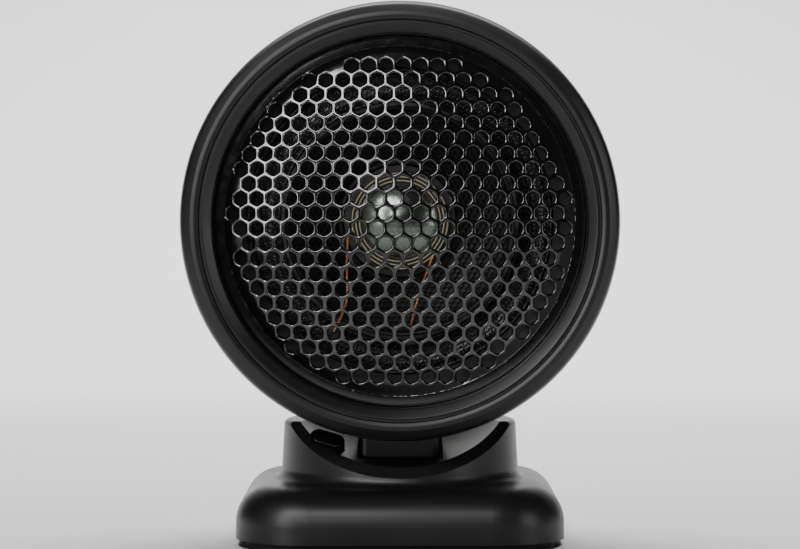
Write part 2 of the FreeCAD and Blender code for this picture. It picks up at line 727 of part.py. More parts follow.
def bezel_screws():
    under = V(0, BEZEL_SCREW_Y, HEAD_Z + SHELL_R + 1.0)
    one = screw(under, V(0, 0, -1), BEZEL_SCREW_LENGTH, SMALL_SCREW_R, BEZEL_HEAD_R, 1.0)
    return around(one, 4, 45)


def front_bezel():
    front = RING_FRONT_Y
    crest_r = RING_R - 5.6
    groove_r = OPENING_R + CHAMFER_RUN
    inner_wall_r = GRILLE_R + GRILLE_FIT
    ring = turned(
        (OPENING_R, front + CHAMFER_DROP + 0.8),
        (groove_r, front + 0.8),
        (groove_r + 0.15, front + 1.7),
        (groove_r + GROOVE - 0.3, front + 1.7),
        (groove_r + GROOVE, front + 0.5),
        (crest_r, front),
        (crest_r + 1.3, front + 0.25),
        ((RING_R - 1.25, front + 3.1), (RING_R, front + 7.0)),
        (RING_R, front + 9.0),
        (RING_R - 0.7, RING_REAR_Y),
        (SPIGOT_R, RING_REAR_Y),
        (SPIGOT_R, front + 6.0),
        (CAVITY_R, front + 5.0),
        (CAVITY_R, CLAMP_REAR_Y),
        (inner_wall_r, CLAMP_REAR_Y),
        (inner_wall_r, GRILLE_Y),
        (OPENING_R - 0.3, GRILLE_Y),
    )
    holes = around(bezel_screw_hole(), 4, 45)
    sink = rod(BEZEL_HEAD_R + 0.1, V(0, BEZEL_SCREW_Y, HEAD_Z + SHELL_R + 0.9),
               V(0, BEZEL_SCREW_Y, HEAD_Z + RING_R + 3))
    return ring.cut(holes + around(sink, 4, 45))


def neck_screw_spots():
    return [(side * (NECK_WIDTH / 2 - 6.0), PIVOT_Y + 1.0) for side in (-1, 1)]


def neck():
    half = NECK_WIDTH / 2
    drum = hinge_rod(DRUM_R, -half, half)
    top = HEAD_Z - SHELL_R + 14
    column = box(-half, half, PIVOT_Y - NECK_DEPTH / 2, PIVOT_Y + NECK_DEPTH / 2, PIVOT_Z, top)
    upright = [e for e in column.Edges if abs(e.tangentAt(e.FirstParameter).z) > 0.9]
    column = column.makeFillet(3.0, upright)
    body = drum.fuse(column).removeSplitter()
    body = body.cut(shell_form(-TOUCH, RING_REAR_Y + 0.3))
    body = body.cut(hinge_rod(DRUM_BORE_R, -NECK_WIDTH, NECK_WIDTH))
    passage = rod(3.2, V(0, PIVOT_Y, PIVOT_Z + BOLT_R + 3.5), V(0, PIVOT_Y, HEAD_Z))
    body = body.cut(passage)
    for x, y in neck_screw_spots():
        under = neck_screw_height(x, y)
        body = body.cut(rod(SCREW_R, V(x, y, under - SCREW_LENGTH), V(x, y, HEAD_Z)))
    return body


def neck_screw_height(x, y):
    """Under side of a neck screw's head, just inside the rear shell."""
    rear_edge = y + SCREW_HEAD_R
    side_edge = abs(x) + SCREW_HEAD_R
    inner_r = shell_radius(rear_edge, SHELL_WALL)
    return HEAD_Z - math.sqrt(inner_r ** 2 - side_edge ** 2) + 0.1


def neck_screws():
    return [screw(V(x, y, neck_screw_height(x, y)), V(0, 0, -1), SCREW_LENGTH)
            for x, y in neck_screw_spots()]


# ---------------------------------------------------------------- grille
def hole_ways():
    """Directions of the grille's holes, from the middle of the dome's sphere.

    The rows of the flat sheet run level, with the axis between two rows, and
    the sheet is then drawn into the dome: a hole keeps its distance along it.
    Only whole holes inside the field are kept.
    """
    row_step = HOLE_PITCH * math.sqrt(3) / 2
    field = GRILLE_DOME_R * math.asin(FIELD_R / GRILLE_DOME_R)
    reach = int(field / row_step) + 2
    ways = []
    for row in range(-reach, reach):
        z = (row + 0.5) * row_step
        shift = HOLE_PITCH * (ROW_SHIFT if row % 2 == 0 else ROW_SHIFT + 0.5)
        for column in range(-reach, reach):
            x = column * HOLE_PITCH + shift
            distance = math.hypot(x, z)
            if distance + HOLE_R < field:
                lean = distance / GRILLE_DOME_R
                side = math.sin(lean) / distance
                ways.append(V(x * side, -math.cos(lean), z * side))
    return ways


def grille():
    """Perforated sheet: a dome of even thickness inside a flat border."""
    back_r = GRILLE_DOME_R - GRILLE_THICK
    centre_y = GRILLE_Y - GRILLE_RISE + GRILLE_DOME_R
    border_back_y = GRILLE_Y + GRILLE_THICK
    back_field_r = math.sqrt(back_r ** 2 - (centre_y - border_back_y) ** 2)

    def on_dome(dome_r, radius):
        return radius, centre_y - math.sqrt(dome_r ** 2 - radius ** 2)

    sheet = turned(
        on_dome(GRILLE_DOME_R, 0),
        (on_dome(GRILLE_DOME_R, FIELD_R / 2), (FIELD_R, GRILLE_Y)),
        (GRILLE_R, GRILLE_Y),
        (GRILLE_R, border_back_y),
        (back_field_r, border_back_y),
        (on_dome(back_r, back_field_r / 2), on_dome(back_r, 0)),
    )
    centre = V(0, centre_y, HEAD_Z)
    return sheet.cut([rod(HOLE_R, centre + way * (back_r - 1), centre + way * (GRILLE_DOME_R + 1))
                      for way in hole_ways()])


def grille_ring():
    ring = tube_y(GRILLE_R, FIELD_R + 1.2, GRILLE_Y + GRILLE_THICK + TOUCH, CLAMP_REAR_Y)
    return ring


# ---------------------------------------------------------------- heating element
def air_duct():
    wall = DUCT_WALL
    seat_r = GASKET_OUTER_R + 0.3
    seat_y = ELECTRODE_Y + 1.0
    neck_y = SPIDER_Y - 4.0
    flange_r = SPIGOT_R - SPIGOT_FIT - SHELL_WALL - 0.3
    duct = turned(
        (FIELD_R + 0.6, DUCT_FLANGE_Y),
        (flange_r, DUCT_FLANGE_Y),
        (flange_r, DUCT_FLANGE_Y + wall),
        (FIELD_R + 1.2, DUCT_FLANGE_Y + wall),
        (seat_r + wall, seat_y + 1.0),
        (seat_r + wall, seat_y + 4.0),
        (DUCT_R + wall, neck_y),
        (DUCT_R + wall, DUCT_REAR_Y),
        (DUCT_R, DUCT_REAR_Y),
        (DUCT_R, neck_y - 0.6),
        (seat_r - 1.2, seat_y + 3.4),
        (seat_r - 1.2, seat_y + 1.8),
        (seat_r, seat_y + 1.8),
        (seat_r, seat_y),
    )
    lug = box(LUG_R - 3, DUCT_R + 0.5, SPIDER_REAR_Y + TOUCH, SPIDER_REAR_Y + 3.6,
              HEAD_Z - SPIDER_ARM / 2, HEAD_Z + SPIDER_ARM / 2)
    lug = lug.cut(rod_y(SMALL_SCREW_R, SPIDER_REAR_Y - 1, SPIDER_REAR_Y + 3, LUG_R))
    return duct.fuse(around(lug, 3, SPIDER_TURN)).removeSplitter()



def gasket_ring():
    inner = GASKET_INNER_R
    outer = GASKET_OUTER_R
    middle = (inner + outer) / 2
    front = ELECTRODE_Y + 1.0
    thick = GASKET_THICK
    return turned(
        (inner, front),
        (inner + 0.8, front),
        ((middle, front + GASKET_DIP), (outer - 1.2, front)),
        (outer, front),
        (outer, front + thick),
        (outer - 1.2, front + thick),
        ((middle, front + GASKET_DIP + thick), (inner + 0.8, front + thick)),
        (inner, front + thick),
    )


def element_front_y(radius):
    """Front face of the dished element at a radius."""
    share = (radius - ELEMENT_INNER_R) / (ELEMENT_R - ELEMENT_INNER_R)
    return ELEMENT_INNER_Y - ELEMENT_DISH * share


def ceramic_element():
    middle = (ELEMENT_INNER_R + ELEMENT_R) / 2
    return turned(
        (ELEMENT_INNER_R, ELEMENT_INNER_Y),
        ((middle, element_front_y(middle) - ELEMENT_SAG), (ELEMENT_R, ELEMENT_OUTER_Y)),
        (ELEMENT_R, ELEMENT_OUTER_Y + ELEMENT_THICK),
        ((middle, element_front_y(middle) - ELEMENT_SAG + ELEMENT_THICK),
         (ELEMENT_INNER_R, ELEMENT_INNER_Y + ELEMENT_THICK)),
    )


def outer_electrode():
    inner = ELEMENT_R + ELECTRODE_FIT
    return tube_y(inner + ELECTRODE, inner, ELECTRODE_Y, ELEMENT_OUTER_Y + ELEMENT_THICK)


def inner_electrode():
    outer = ELEMENT_INNER_R - ELECTRODE_FIT
    return tube_y(outer, FORMER_R + 0.1, ELEMENT_INNER_Y - 1.2, SPIDER_Y - TOUCH)


def ceramic_former():
    step = (FORMER_R - DOME_R - DOME_GAP) / (2 * RIDGES)
    ridges = []
    for i in range(2 * RIDGES + 1):
        high = i % 2 == 1
        ridges.append((DOME_R + DOME_GAP + step * i, FORMER_Y - (RIDGE_HEIGHT if high else 0.0)))
    return turned((STUD_R + 0.05, FORMER_Y + 0.3), (DOME_R + DOME_GAP, FORMER_Y + 0.3), *ridges,
                  (FORMER_R, SPIDER_Y - TOUCH), (STUD_R + 0.05, SPIDER_Y - TOUCH))


def nose_dome():
    sphere_r = (DOME_R ** 2 + DOME_RISE ** 2) / (2 * DOME_RISE)
    half_r = DOME_R / 2
    foot_y = FORMER_Y + 0.3 - TOUCH
    edge_y = foot_y - 1.0
    half_y = edge_y - DOME_RISE + sphere_r - math.sqrt(sphere_r ** 2 - half_r ** 2)
    dome = turned((0, edge_y - DOME_RISE), ((half_r, half_y), (DOME_R, edge_y)),
                  (DOME_R, foot_y), (0, foot_y))
    return dome.cut(rod_y(STUD_HEAD_R + 0.3, FORMER_Y - STUD_HEAD - 0.3, foot_y + 1))


def centre_stud():
    head = rod_y(STUD_HEAD_R, FORMER_Y - STUD_HEAD, FORMER_Y + 0.3 - TOUCH)
    return head.fuse(rod_y(STUD_R, FORMER_Y, SPIDER_REAR_Y + 3.4)).removeSplitter()


def stud_nut():
    start = V(0, SPIDER_REAR_Y + TOUCH, HEAD_Z)
    end = V(0, SPIDER_REAR_Y + 2.4, HEAD_Z)
    return prism(3.2, 6, start, end).cut(rod_y(STUD_R, start.y - 1, end.y + 1))


def element_spider():
    disc = rod_y(ELEMENT_INNER_R - 1.0, SPIDER_Y, SPIDER_REAR_Y)
    arm = box(0, DUCT_R - 0.4, SPIDER_Y, SPIDER_REAR_Y, HEAD_Z - SPIDER_ARM / 2, HEAD_Z + SPIDER_ARM / 2)
    foot_r = LUG_R - FINGER_IN
    finger = box(foot_r, foot_r + 1.5, element_front_y(foot_r) + ELEMENT_THICK + 0.1, SPIDER_REAR_Y,
                 HEAD_Z - SPIDER_ARM / 2, HEAD_Z + SPIDER_ARM / 2)
    arm = arm.fuse(finger)
    arm = arm.cut(rod_y(SCREW_R, SPIDER_Y - 1, SPIDER_REAR_Y + 1, LUG_R))
    spider = disc.fuse(around(arm, 3, SPIDER_TURN)).removeSplitter()
    vents = around(rod_y(2.2, SPIDER_Y - 1, SPIDER_REAR_Y + 1, 12.0), 6, 0)
    return spider.cut([rod_y(STUD_R + 0.05, SPIDER_Y - 1, SPIDER_REAR_Y + 1)] + vents)


def spider_screws():
    under = V(LUG_R, SPIDER_Y - TOUCH, HEAD_Z)
    one = screw(under, V(0, 1, 0), 4.0, SMALL_SCREW_R, SMALL_HEAD_R, SMALL_HEAD)
    return around(one, 3, SPIDER_TURN)


def lead_tab_y():
    return ELECTRODE_Y - TOUCH


def lead_left():
    near = V(-18.6, ELEMENT_INNER_Y - 1.2 - LEAD_R - TOUCH, HEAD_Z - 5.9)
    end_y = lead_tab_y() - 0.8 - LEAD_R - TOUCH
    return pipe([near, V(-18.9, near.y - 5, HEAD_Z - 15.5), V(-18.9, end_y - 1.5, HEAD_Z - 28.4),
                 V(-23.4, end_y, HEAD_Z - 39.2)], LEAD_R)


def lead_right():
    near = V(11.6, FORMER_Y - RIDGE_HEIGHT - LEAD_R - TOUCH, HEAD_Z - 12.6)
    end_y = lead_tab_y() - 0.8 - LEAD_R - TOUCH
    return pipe([near, V(9.0, near.y - 2.5, HEAD_Z - 19.4), V(4.6, end_y - 1.5, HEAD_Z - 33.5),
                 V(3.6, end_y, HEAD_Z - 42.0)], LEAD_R)


def lead_terminals():
    """Two tabs on the outer electrode's front edge, one under each lead's end."""
    tabs = []
    front = lead_tab_y()
    for x, z in ((-23.4, -39.2), (3.6, -42.0)):
        angle = math.degrees(math.atan2(-z, x))
        tab = box(ELEMENT_R + 0.3, math.hypot(x, z) + 1.6, front - 0.8, front, HEAD_Z - 1.8, HEAD_Z + 1.8)
        tab.rotate(V(0, 0, HEAD_Z), V(0, 1, 0), angle)
        tabs.append(tab)
    return tabs


def thermal_cutout():
    y = SPIDER_REAR_Y + TOUCH
    body = rod_y(5.5, y, y + 3.4, 0, 12.0)
    return body.fuse([box(-4, -3, y + 3.3, y + 5.0, HEAD_Z + 11, HEAD_Z + 13),
                      box(3, 4, y + 3.3, y + 5.0, HEAD_Z + 11, HEAD_Z + 13)]).removeSplitter()


def thermal_fuse():
    y = SPIDER_REAR_Y + TOUCH + 1.4
    return rod(1.4, V(-6, y, HEAD_Z - 12.5), V(6, y, HEAD_Z - 12.5))


# ---------------------------------------------------------------- motor and fan
def mount_spots():
    spots = []
    for angle in (45, 135, 225, 315):
        a = math.radians(angle)
        spots.append(V(26 * math.cos(a), SHELL_INNER_REAR_Y - TOUCH, HEAD_Z + 26 * math.sin(a)))
    return spots


def motor_mount():
    rear = SHELL_INNER_REAR_Y - TOUCH
    front = rear - MOUNT_THICK
    plate = rod_y(MOTOR_R + 2, front, rear)
    arm = box(0, 29.5, front, rear, HEAD_Z - 4, HEAD_Z + 4)
    plate = plate.fuse(around(arm, 4, 45)).removeSplitter()
    cup = tube_y(MOTOR_R + 1.6, MOTOR_R + 0.05, front - 7, front + 0.5)
    plate = plate.fuse(cup).removeSplitter()
    return plate.cut([rod(SCREW_R * 0.9, spot - V(0, 8, 0), spot + V(0, 1, 0)) for spot in mount_spots()])


def mount_screws():
    front = SHELL_INNER_REAR_Y - TOUCH - MOUNT_THICK
    return [screw(V(spot.x, front - TOUCH, spot.z), V(0, 1, 0), MOUNT_THICK + 1.2, radius=1.2, head_r=2.3)
            for spot in mount_spots()]


def motor_body():
    rear = SHELL_INNER_REAR_Y - MOUNT_THICK - 2 * TOUCH
    can = rod_y(MOTOR_R, MOTOR_FRONT_Y, rear)
    can = can.makeFillet(1.5, [e for e in can.Edges if on_plane(e, V(0, MOTOR_FRONT_Y, 0), V(0, 1, 0))])
    boss = rod_y(BUSH_R + 1.8, MOTOR_FRONT_Y - BUSH_PROUD, MOTOR_FRONT_Y + 1)
    can = can.fuse(boss).removeSplitter()
    return can.cut(rod_y(BUSH_R, MOTOR_FRONT_Y - 3, BUSH_REAR_Y))


def motor_bushes():
    bushes = []
    for start in (MOTOR_FRONT_Y - BUSH_PROUD, BUSH_REAR_Y - BUSH_LENGTH):
        bushes.append(tube_y(BUSH_R, SHAFT_R + SHAFT_FIT, start, start + BUSH_LENGTH))
    return bushes


def motor_shaft():
    return rod_y(SHAFT_R, HUB_FRONT_Y - 1.6, BUSH_REAR_Y - 0.3)


def hub_clip():
    return tube_y(3.4, SHAFT_R, HUB_FRONT_Y - 0.9, HUB_FRONT_Y - TOUCH)


def blade_section(radius, pitch, chord, thick):
    """Flat rectangle across the blade at a radius, leaning by its pitch."""
    a = math.radians(pitch)
    along = V(0, math.sin(a), math.cos(a)) * (chord / 2)
    across = V(0, math.cos(a), -math.sin(a)) * (thick / 2)
    middle = V(radius, (HUB_FRONT_Y + HUB_REAR_Y) / 2, HEAD_Z)
    points = [middle + along + across, middle - along + across, middle - along - across,
              middle + along - across, middle + along + across]
    return Part.makePolygon(points)


def fan_impeller():
    hub = rod_y(HUB_R, HUB_FRONT_Y, HUB_REAR_Y)
    hub = hub.makeFillet(1.5, [e for e in hub.Edges if on_plane(e, V(0, HUB_FRONT_Y, 0), V(0, 1, 0))])
    blade = Part.makeLoft([blade_section(HUB_R - 1.5, 40, 11.5, 1.8), blade_section(FAN_R + 1, 22, 26, 1.2)],
                          True, True)
    blade = blade.common(rod_y(FAN_R, -40, 40))
    fan = hub.fuse(around(blade, FAN_BLADES)).removeSplitter()
    return fan.cut(rod_y(SHAFT_R, -60, 60))


# ---------------------------------------------------------------- write the parts
NODES = (
    base_shell, base_plate, foot_pad, ballast_plate, base_screws, cord_gland, terminal_block,
    control_board, board_screws, board_relay, board_capacitor, pivot_bracket, bracket_screws,
    pivot_bolt, pivot_nut, spring_washer, friction_washers, switch_bezel, button_switch,
    power_button, tip_switch, tip_plunger, plunger_spring, neck, neck_screws, rear_shell, front_bezel,
    bezel_screws, grille, grille_ring, air_duct, gasket_ring, ceramic_element, outer_electrode,
    inner_electrode, ceramic_former, nose_dome, centre_stud, stud_nut, element_spider,
    spider_screws, lead_left, lead_right, lead_terminals, thermal_cutout, thermal_fuse,
    motor_mount, mount_screws, motor_body, motor_bushes, motor_shaft, hub_clip, fan_impeller,
)


def write_parts():
    os.makedirs("parts", exist_ok=True)
    for make in NODES:
        made = make()
        shape = Part.makeCompound(made) if isinstance(made, list) else made
        if not shape.isValid():
            raise RuntimeError(make.__name__ + " is not a valid shape")
        shape.exportStep("parts/" + make.__name__ + ".step")
        print(make.__name__, len(shape.Solids), round(shape.Volume, 1))


write_parts()
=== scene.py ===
import json
import math

import bmesh
import bpy
from mathutils import Matrix, Vector


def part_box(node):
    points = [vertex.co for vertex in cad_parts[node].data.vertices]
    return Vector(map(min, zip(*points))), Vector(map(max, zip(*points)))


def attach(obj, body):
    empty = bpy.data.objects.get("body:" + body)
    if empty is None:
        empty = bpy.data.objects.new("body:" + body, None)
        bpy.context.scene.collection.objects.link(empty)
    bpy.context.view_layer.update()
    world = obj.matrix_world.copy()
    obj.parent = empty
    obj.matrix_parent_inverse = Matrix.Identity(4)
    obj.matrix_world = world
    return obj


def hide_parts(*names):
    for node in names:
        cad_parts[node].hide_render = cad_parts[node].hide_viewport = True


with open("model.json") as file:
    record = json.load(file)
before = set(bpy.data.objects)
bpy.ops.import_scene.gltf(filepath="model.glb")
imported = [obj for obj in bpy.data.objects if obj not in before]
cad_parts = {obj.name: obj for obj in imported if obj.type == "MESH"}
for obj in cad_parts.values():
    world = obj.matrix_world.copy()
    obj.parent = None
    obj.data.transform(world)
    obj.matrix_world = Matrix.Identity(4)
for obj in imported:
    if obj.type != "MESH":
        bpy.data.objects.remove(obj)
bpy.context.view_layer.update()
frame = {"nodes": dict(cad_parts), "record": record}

bl_info = {
    "name": "Ceramic Desk Heater",
    "version": (1, 0, 0),
    "blender": (4, 5, 0),
    "location": "3D View > Sidebar > Heater",
    "description": "Builds the finished look of a tilting ceramic desk heater round its frame",
    "category": "Object",
}

MM = 0.001


# ------------------------------------------------------------ places, from the frame
def node_box(node):
    """Lowest corner, highest corner and middle of a frame node."""
    low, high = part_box(node)
    low, high = Vector(low), Vector(high)
    return low, high, (low + high) / 2


RING_LOW, RING_HIGH, RING_MIDDLE = node_box("front_bezel")
HEAD_Z = RING_MIDDLE.z
RING_R = (RING_HIGH.x - RING_LOW.x) / 2
FRONT_Y = RING_LOW.y
RING_BACK_Y = RING_HIGH.y
GRILLE_LOW, GRILLE_HIGH, _ = node_box("grille")
GRILLE_R = (GRILLE_HIGH.x - GRILLE_LOW.x) / 2
GRILLE_BACK_Y = GRILLE_HIGH.y


# ------------------------------------------------------------ node trees
class Value:
    """A node socket that Python's operators work on."""

    def __init__(self, nodes, socket):
        self.nodes = nodes
        self.socket = socket

    def _maths(self, operation, *others):
        return self.nodes.add("ShaderNodeMath", {"operation": operation},
                              {i: v for i, v in enumerate((self, *others))})

    def __add__(self, other):
        return self._maths("ADD", other)

    def __radd__(self, other):
        return self._maths("ADD", other)

    def __sub__(self, other):
        return self._maths("SUBTRACT", other)

    def __rsub__(self, other):
        return self.nodes.add("ShaderNodeMath", {"operation": "SUBTRACT"}, {0: other, 1: self})

    def __mul__(self, other):
        return self._maths("MULTIPLY", other)

    def __rmul__(self, other):
        return self._maths("MULTIPLY", other)

    def __truediv__(self, other):
        return self._maths("DIVIDE", other)

    def __pow__(self, other):
        return self._maths("POWER", other)

    def __gt__(self, other):
        return self._maths("GREATER_THAN", other)

    def apply(self, operation, *others):
        """Any other Math operation, such as SINE."""
        return self._maths(operation, *others)


class Nodes:
    """Adds nodes to a shader or geometry tree."""

    def __init__(self, tree):
        self.tree = tree

    def node(self, kind, settings=None, inputs=None):
        """Makes a node, sets it, and fills its sockets with values or links."""
        made = self.tree.nodes.new(kind)
        for name, value in (settings or {}).items():
            if name == "stops":
                set_stops(made.color_ramp, value)
            else:
                setattr(made, name, value)
        for name, value in (inputs or {}).items():
            socket = made.inputs[name]
            if isinstance(value, Value):
                self.tree.links.new(value.socket, socket)
            else:
                socket.default_value = value
        return made

    def add(self, kind, settings=None, inputs=None, output=0):
        """Makes a node and gives one of its outputs."""
        return Value(self, self.node(kind, settings, inputs).outputs[output])

    def mix(self, factor, first, second):
        """Blends two colours."""
        return self.add("ShaderNodeMix", {"data_type": "RGBA"}, {0: factor, 6: first, 7: second}, 2)

    def spread(self, value, low, high, to_low=0.0, to_high=1.0):
        """Maps a value from one range to another and clamps it."""
        return self.add("ShaderNodeMapRange", {"clamp": True},
                        {0: value, 1: low, 2: high, 3: to_low, 4: to_high})


def set_stops(ramp, stops):
    """Puts (place, colour) stops on a colour ramp."""
    while len(ramp.elements) < len(stops):
        ramp.elements.new(0.5)
    for element, (place, colour) in zip(ramp.elements, stops):
        element.position = place
        element.color = (*colour[:3], 1.0)


# ------------------------------------------------------------ materials
class Finish:
    """One material: a Principled shader with helpers for its pattern."""

    def __init__(self, name, **constants):
        self.material = bpy.data.materials.new(name)
        self.material.use_nodes = True
        self.nodes = Nodes(self.material.node_tree)
        self.shader = self.material.node_tree.nodes["Principled BSDF"]
        for socket, value in constants.items():
            self.shader.inputs[socket.replace("_", " ")].default_value = value
        self.place = self.nodes.add("ShaderNodeTexCoord", output="Object")
        self.bumps = []

    def noise(self, scale, detail=2.0, roughness=0.5, stretch=None):
        """Noise at so many features a metre."""
        place = self.place
        if stretch:
            place = self.nodes.add("ShaderNodeMapping", {}, {"Vector": place, "Scale": stretch})
        return self.nodes.add("ShaderNodeTexNoise", {}, {
            "Vector": place, "Scale": scale, "Detail": detail, "Roughness": roughness})

    def cells(self, scale, feature="F1"):
        """Voronoi cells at so many a metre."""
        return self.nodes.add("ShaderNodeTexVoronoi", {"feature": feature}, {
            "Vector": self.place, "Scale": scale})

    def link(self, socket, value):
        self.nodes.tree.links.new(value.socket, self.shader.inputs[socket])

    def colour(self, value):
        self.link("Base Color", value)

    def roughness(self, value):
        self.link("Roughness", value)

    def bump(self, height, distance, strength=1.0):
        """Adds a bump of this height in metres on top of any before it."""
        inputs = {"Height": height, "Distance": distance, "Strength": strength}
        if self.bumps:
            inputs["Normal"] = self.bumps[-1]
        self.bumps.append(self.nodes.add("ShaderNodeBump", {}, inputs))
        self.link("Normal", self.bumps[-1])


def shade(colour, factor):
    """A colour made lighter or darker."""
    return tuple(min(1.0, c * factor) for c in colour[:3]) + (1.0,)


def moulded_plastic(name, colour, grain=0.45, grain_depth=9e-6, roughness=(0.36, 0.5), coat=0.0):
    """Spark-eroded plastic: fine grain, slight mottling, faint rubbed patches."""
    finish = Finish(name, Specular_IOR_Level=0.5, Coat_Weight=coat, Coat_Roughness=0.22)
    mottle = finish.noise(55.0, 4.0)
    rub = finish.noise(18.0, 3.0, 0.6)
    dust = finish.nodes.spread(finish.noise(900.0, 2.0), 0.66, 0.78)
    tone = finish.nodes.mix(mottle, shade(colour, 0.82), shade(colour, 1.18))
    finish.colour(finish.nodes.mix(dust * 0.18, tone, shade(colour, 4.0)))
    finish.roughness(finish.nodes.spread(rub * 0.7 + mottle * 0.3, 0.3, 0.7, *roughness))
    finish.bump(finish.cells(1000.0 / grain), grain_depth, 0.5)
    finish.bump(finish.noise(2600.0 / grain, 2.0), grain_depth * 0.7, 0.5)
    return finish.material


def casing_plastic(colours):
    return moulded_plastic("casing_plastic", colours.casing, 0.42, 1.0e-5, (0.33, 0.46))


def inner_plastic(colours):
    return moulded_plastic("inner_plastic", shade(colours.casing, 0.5), 0.8, 2.0e-5, (0.55, 0.75))


def fan_plastic(colours):
    return moulded_plastic("fan_plastic", shade(colours.casing, 1.1), 0.6, 1.0e-5, (0.4, 0.55))


def switch_plastic(colours):
    return moulded_plastic("switch_plastic", shade(colours.casing, 2.0), 0.5, 1.0e-5, (0.4, 0.6))


def button_plastic(colours):
    return moulded_plastic("button_plastic", shade(colours.casing, 0.8), 0.9, 3.0e-6, (0.16, 0.26), 0.3)


def grille_enamel(colours):
    """Glossy black stoved paint over pressed steel, with faint orange peel."""
    finish = Finish("grille_enamel", Specular_IOR_Level=0.8, Coat_Weight=1.0, Coat_Roughness=0.07)
    flow = finish.noise(420.0, 2.0)
    speck = finish.nodes.spread(finish.noise(2400.0, 2.0), 0.7, 0.8)
    tone = finish.nodes.mix(flow, shade(colours.grille, 0.75), shade(colours.grille, 1.25))
    finish.colour(finish.nodes.mix(speck * 0.2, tone, shade(colours.grille, 5.0)))
    finish.roughness(finish.nodes.spread(flow, 0.3, 0.7, 0.11, 0.17))
    finish.bump(flow, 6.0e-6, 0.4)
    finish.bump(finish.noise(3200.0, 2.0), 2.0e-6, 0.4)
    return finish.material


def pad_rubber(colours):
    finish = Finish("pad_rubber", Specular_IOR_Level=0.35)
    bloom = finish.noise(70.0, 4.0, 0.6)
    tone = finish.nodes.mix(bloom, (0.012, 0.012, 0.012, 1), (0.03, 0.03, 0.031, 1))
    finish.colour(tone)
    finish.roughness(finish.nodes.spread(bloom, 0.3, 0.7, 0.62, 0.85))
    finish.bump(finish.noise(1500.0, 3.0), 2.5e-5, 0.6)
    return finish.material


def plated_steel(colours):
    """Zinc plate: brushed along one way, with passivation tints."""
    finish = Finish("plated_steel", Metallic=1.0)
    brush = finish.noise(180.0, 3.0, 0.6, (1.0, 1.0, 18.0))
    tint = finish.noise(60.0, 3.0)
    tone = finish.nodes.mix(tint, (0.52, 0.53, 0.55, 1), (0.66, 0.64, 0.58, 1))
    finish.colour(finish.nodes.mix(brush * 0.4, tone, (0.42, 0.42, 0.43, 1)))
    finish.roughness(finish.nodes.spread(brush, 0.3, 0.7, 0.24, 0.42))
    finish.bump(brush, 1.2e-5, 0.4)
    return finish.material


def black_oxide(colours):
    finish = Finish("black_oxide", Metallic=0.85)
    tint = finish.noise(220.0, 3.0)
    finish.colour(finish.nodes.mix(tint, (0.03, 0.03, 0.034, 1), (0.075, 0.072, 0.07, 1)))
    finish.roughness(finish.nodes.spread(tint, 0.3, 0.7, 0.3, 0.5))
    finish.bump(finish.noise(2600.0, 2.0), 6e-6, 0.5)
    return finish.material


def satin_aluminium(colours):
    finish = Finish("satin_aluminium", Metallic=1.0)
    brush = finish.noise(300.0, 3.0, 0.6, (1.0, 14.0, 1.0))
    finish.colour(finish.nodes.mix(brush, (0.5, 0.51, 0.52, 1), (0.68, 0.68, 0.68, 1)))
    finish.roughness(finish.nodes.spread(brush, 0.3, 0.7, 0.3, 0.48))
    finish.bump(brush, 1.0e-5, 0.5)
    return finish.material


def polished_steel(colours):
    """Mirror polish with faint turning marks and a greenish cast."""
    finish = Finish("polished_steel", Metallic=1.0)
    haze = finish.noise(240.0, 3.0)
    finish.colour(finish.nodes.mix(haze, shade(colours.dome, 0.9), shade(colours.dome, 1.05)))
    finish.roughness(finish.nodes.spread(haze, 0.3, 0.7, 0.2, 0.27))
    finish.bump(finish.noise(90.0, 2.0), 2.0e-5, 0.3)
    return finish.material


def heater_ceramic(colours):
    """Dark sintered ceramic with painted glints on its grain."""
    finish = Finish("heater_ceramic", Specular_IOR_Level=0.35)
    grain = finish.noise(2200.0, 3.0, 0.6)
    patch = finish.noise(130.0, 3.0)
    tone = finish.nodes.mix(patch, (0.003, 0.003, 0.0034, 1), (0.008, 0.0076, 0.0072, 1))
    # painted glint: lighter specks on the grain stand in for light glinting off it
    painted_glint = finish.nodes.spread(grain, 0.62, 0.75)
    finish.colour(finish.nodes.mix(painted_glint * 0.5, tone, (0.05, 0.047, 0.044, 1)))
    finish.roughness(finish.nodes.spread(grain, 0.3, 0.7, 0.34, 0.62))
    finish.bump(grain, 3.0e-5, 0.7)
    return finish.material


def cream_ceramic(colours):
    """Cream ceramic with painted shade darkening its grooves."""
    finish = Finish("cream_ceramic", Specular_IOR_Level=0.5)
    stain = finish.noise(160.0, 4.0, 0.6)
    grain = finish.noise(1800.0, 3.0)
    tone = finish.nodes.mix(stain, shade(colours.cream, 0.78), shade(colours.cream, 1.08))
    tone = finish.nodes.mix(finish.nodes.spread(grain, 0.6, 0.8) * 0.3, tone, shade(colours.cream, 0.5))
    depth = finish.nodes.add("ShaderNodeSeparateXYZ", {}, {0: finish.place}, 1)
    # painted shade: darker the deeper the surface lies behind the ridges' crests, as in the grooves, fading
    # out again past 1.5 mm deep
    painted_groove_shade = finish.nodes.spread(depth, FORMER_LOW.y + 0.25 * MM, FORMER_LOW.y + 0.85 * MM)
    shade_fade_out = finish.nodes.spread(depth, FORMER_LOW.y + 1.5 * MM, FORMER_LOW.y + 3.0 * MM)
    finish.colour(finish.nodes.mix(painted_groove_shade * (1 - shade_fade_out), tone, shade(colours.cream, 0.06)))
    finish.roughness(finish.nodes.spread(stain, 0.3, 0.7, 0.3, 0.5))
    finish.bump(grain, 1.2e-5, 0.5)
    return finish.material


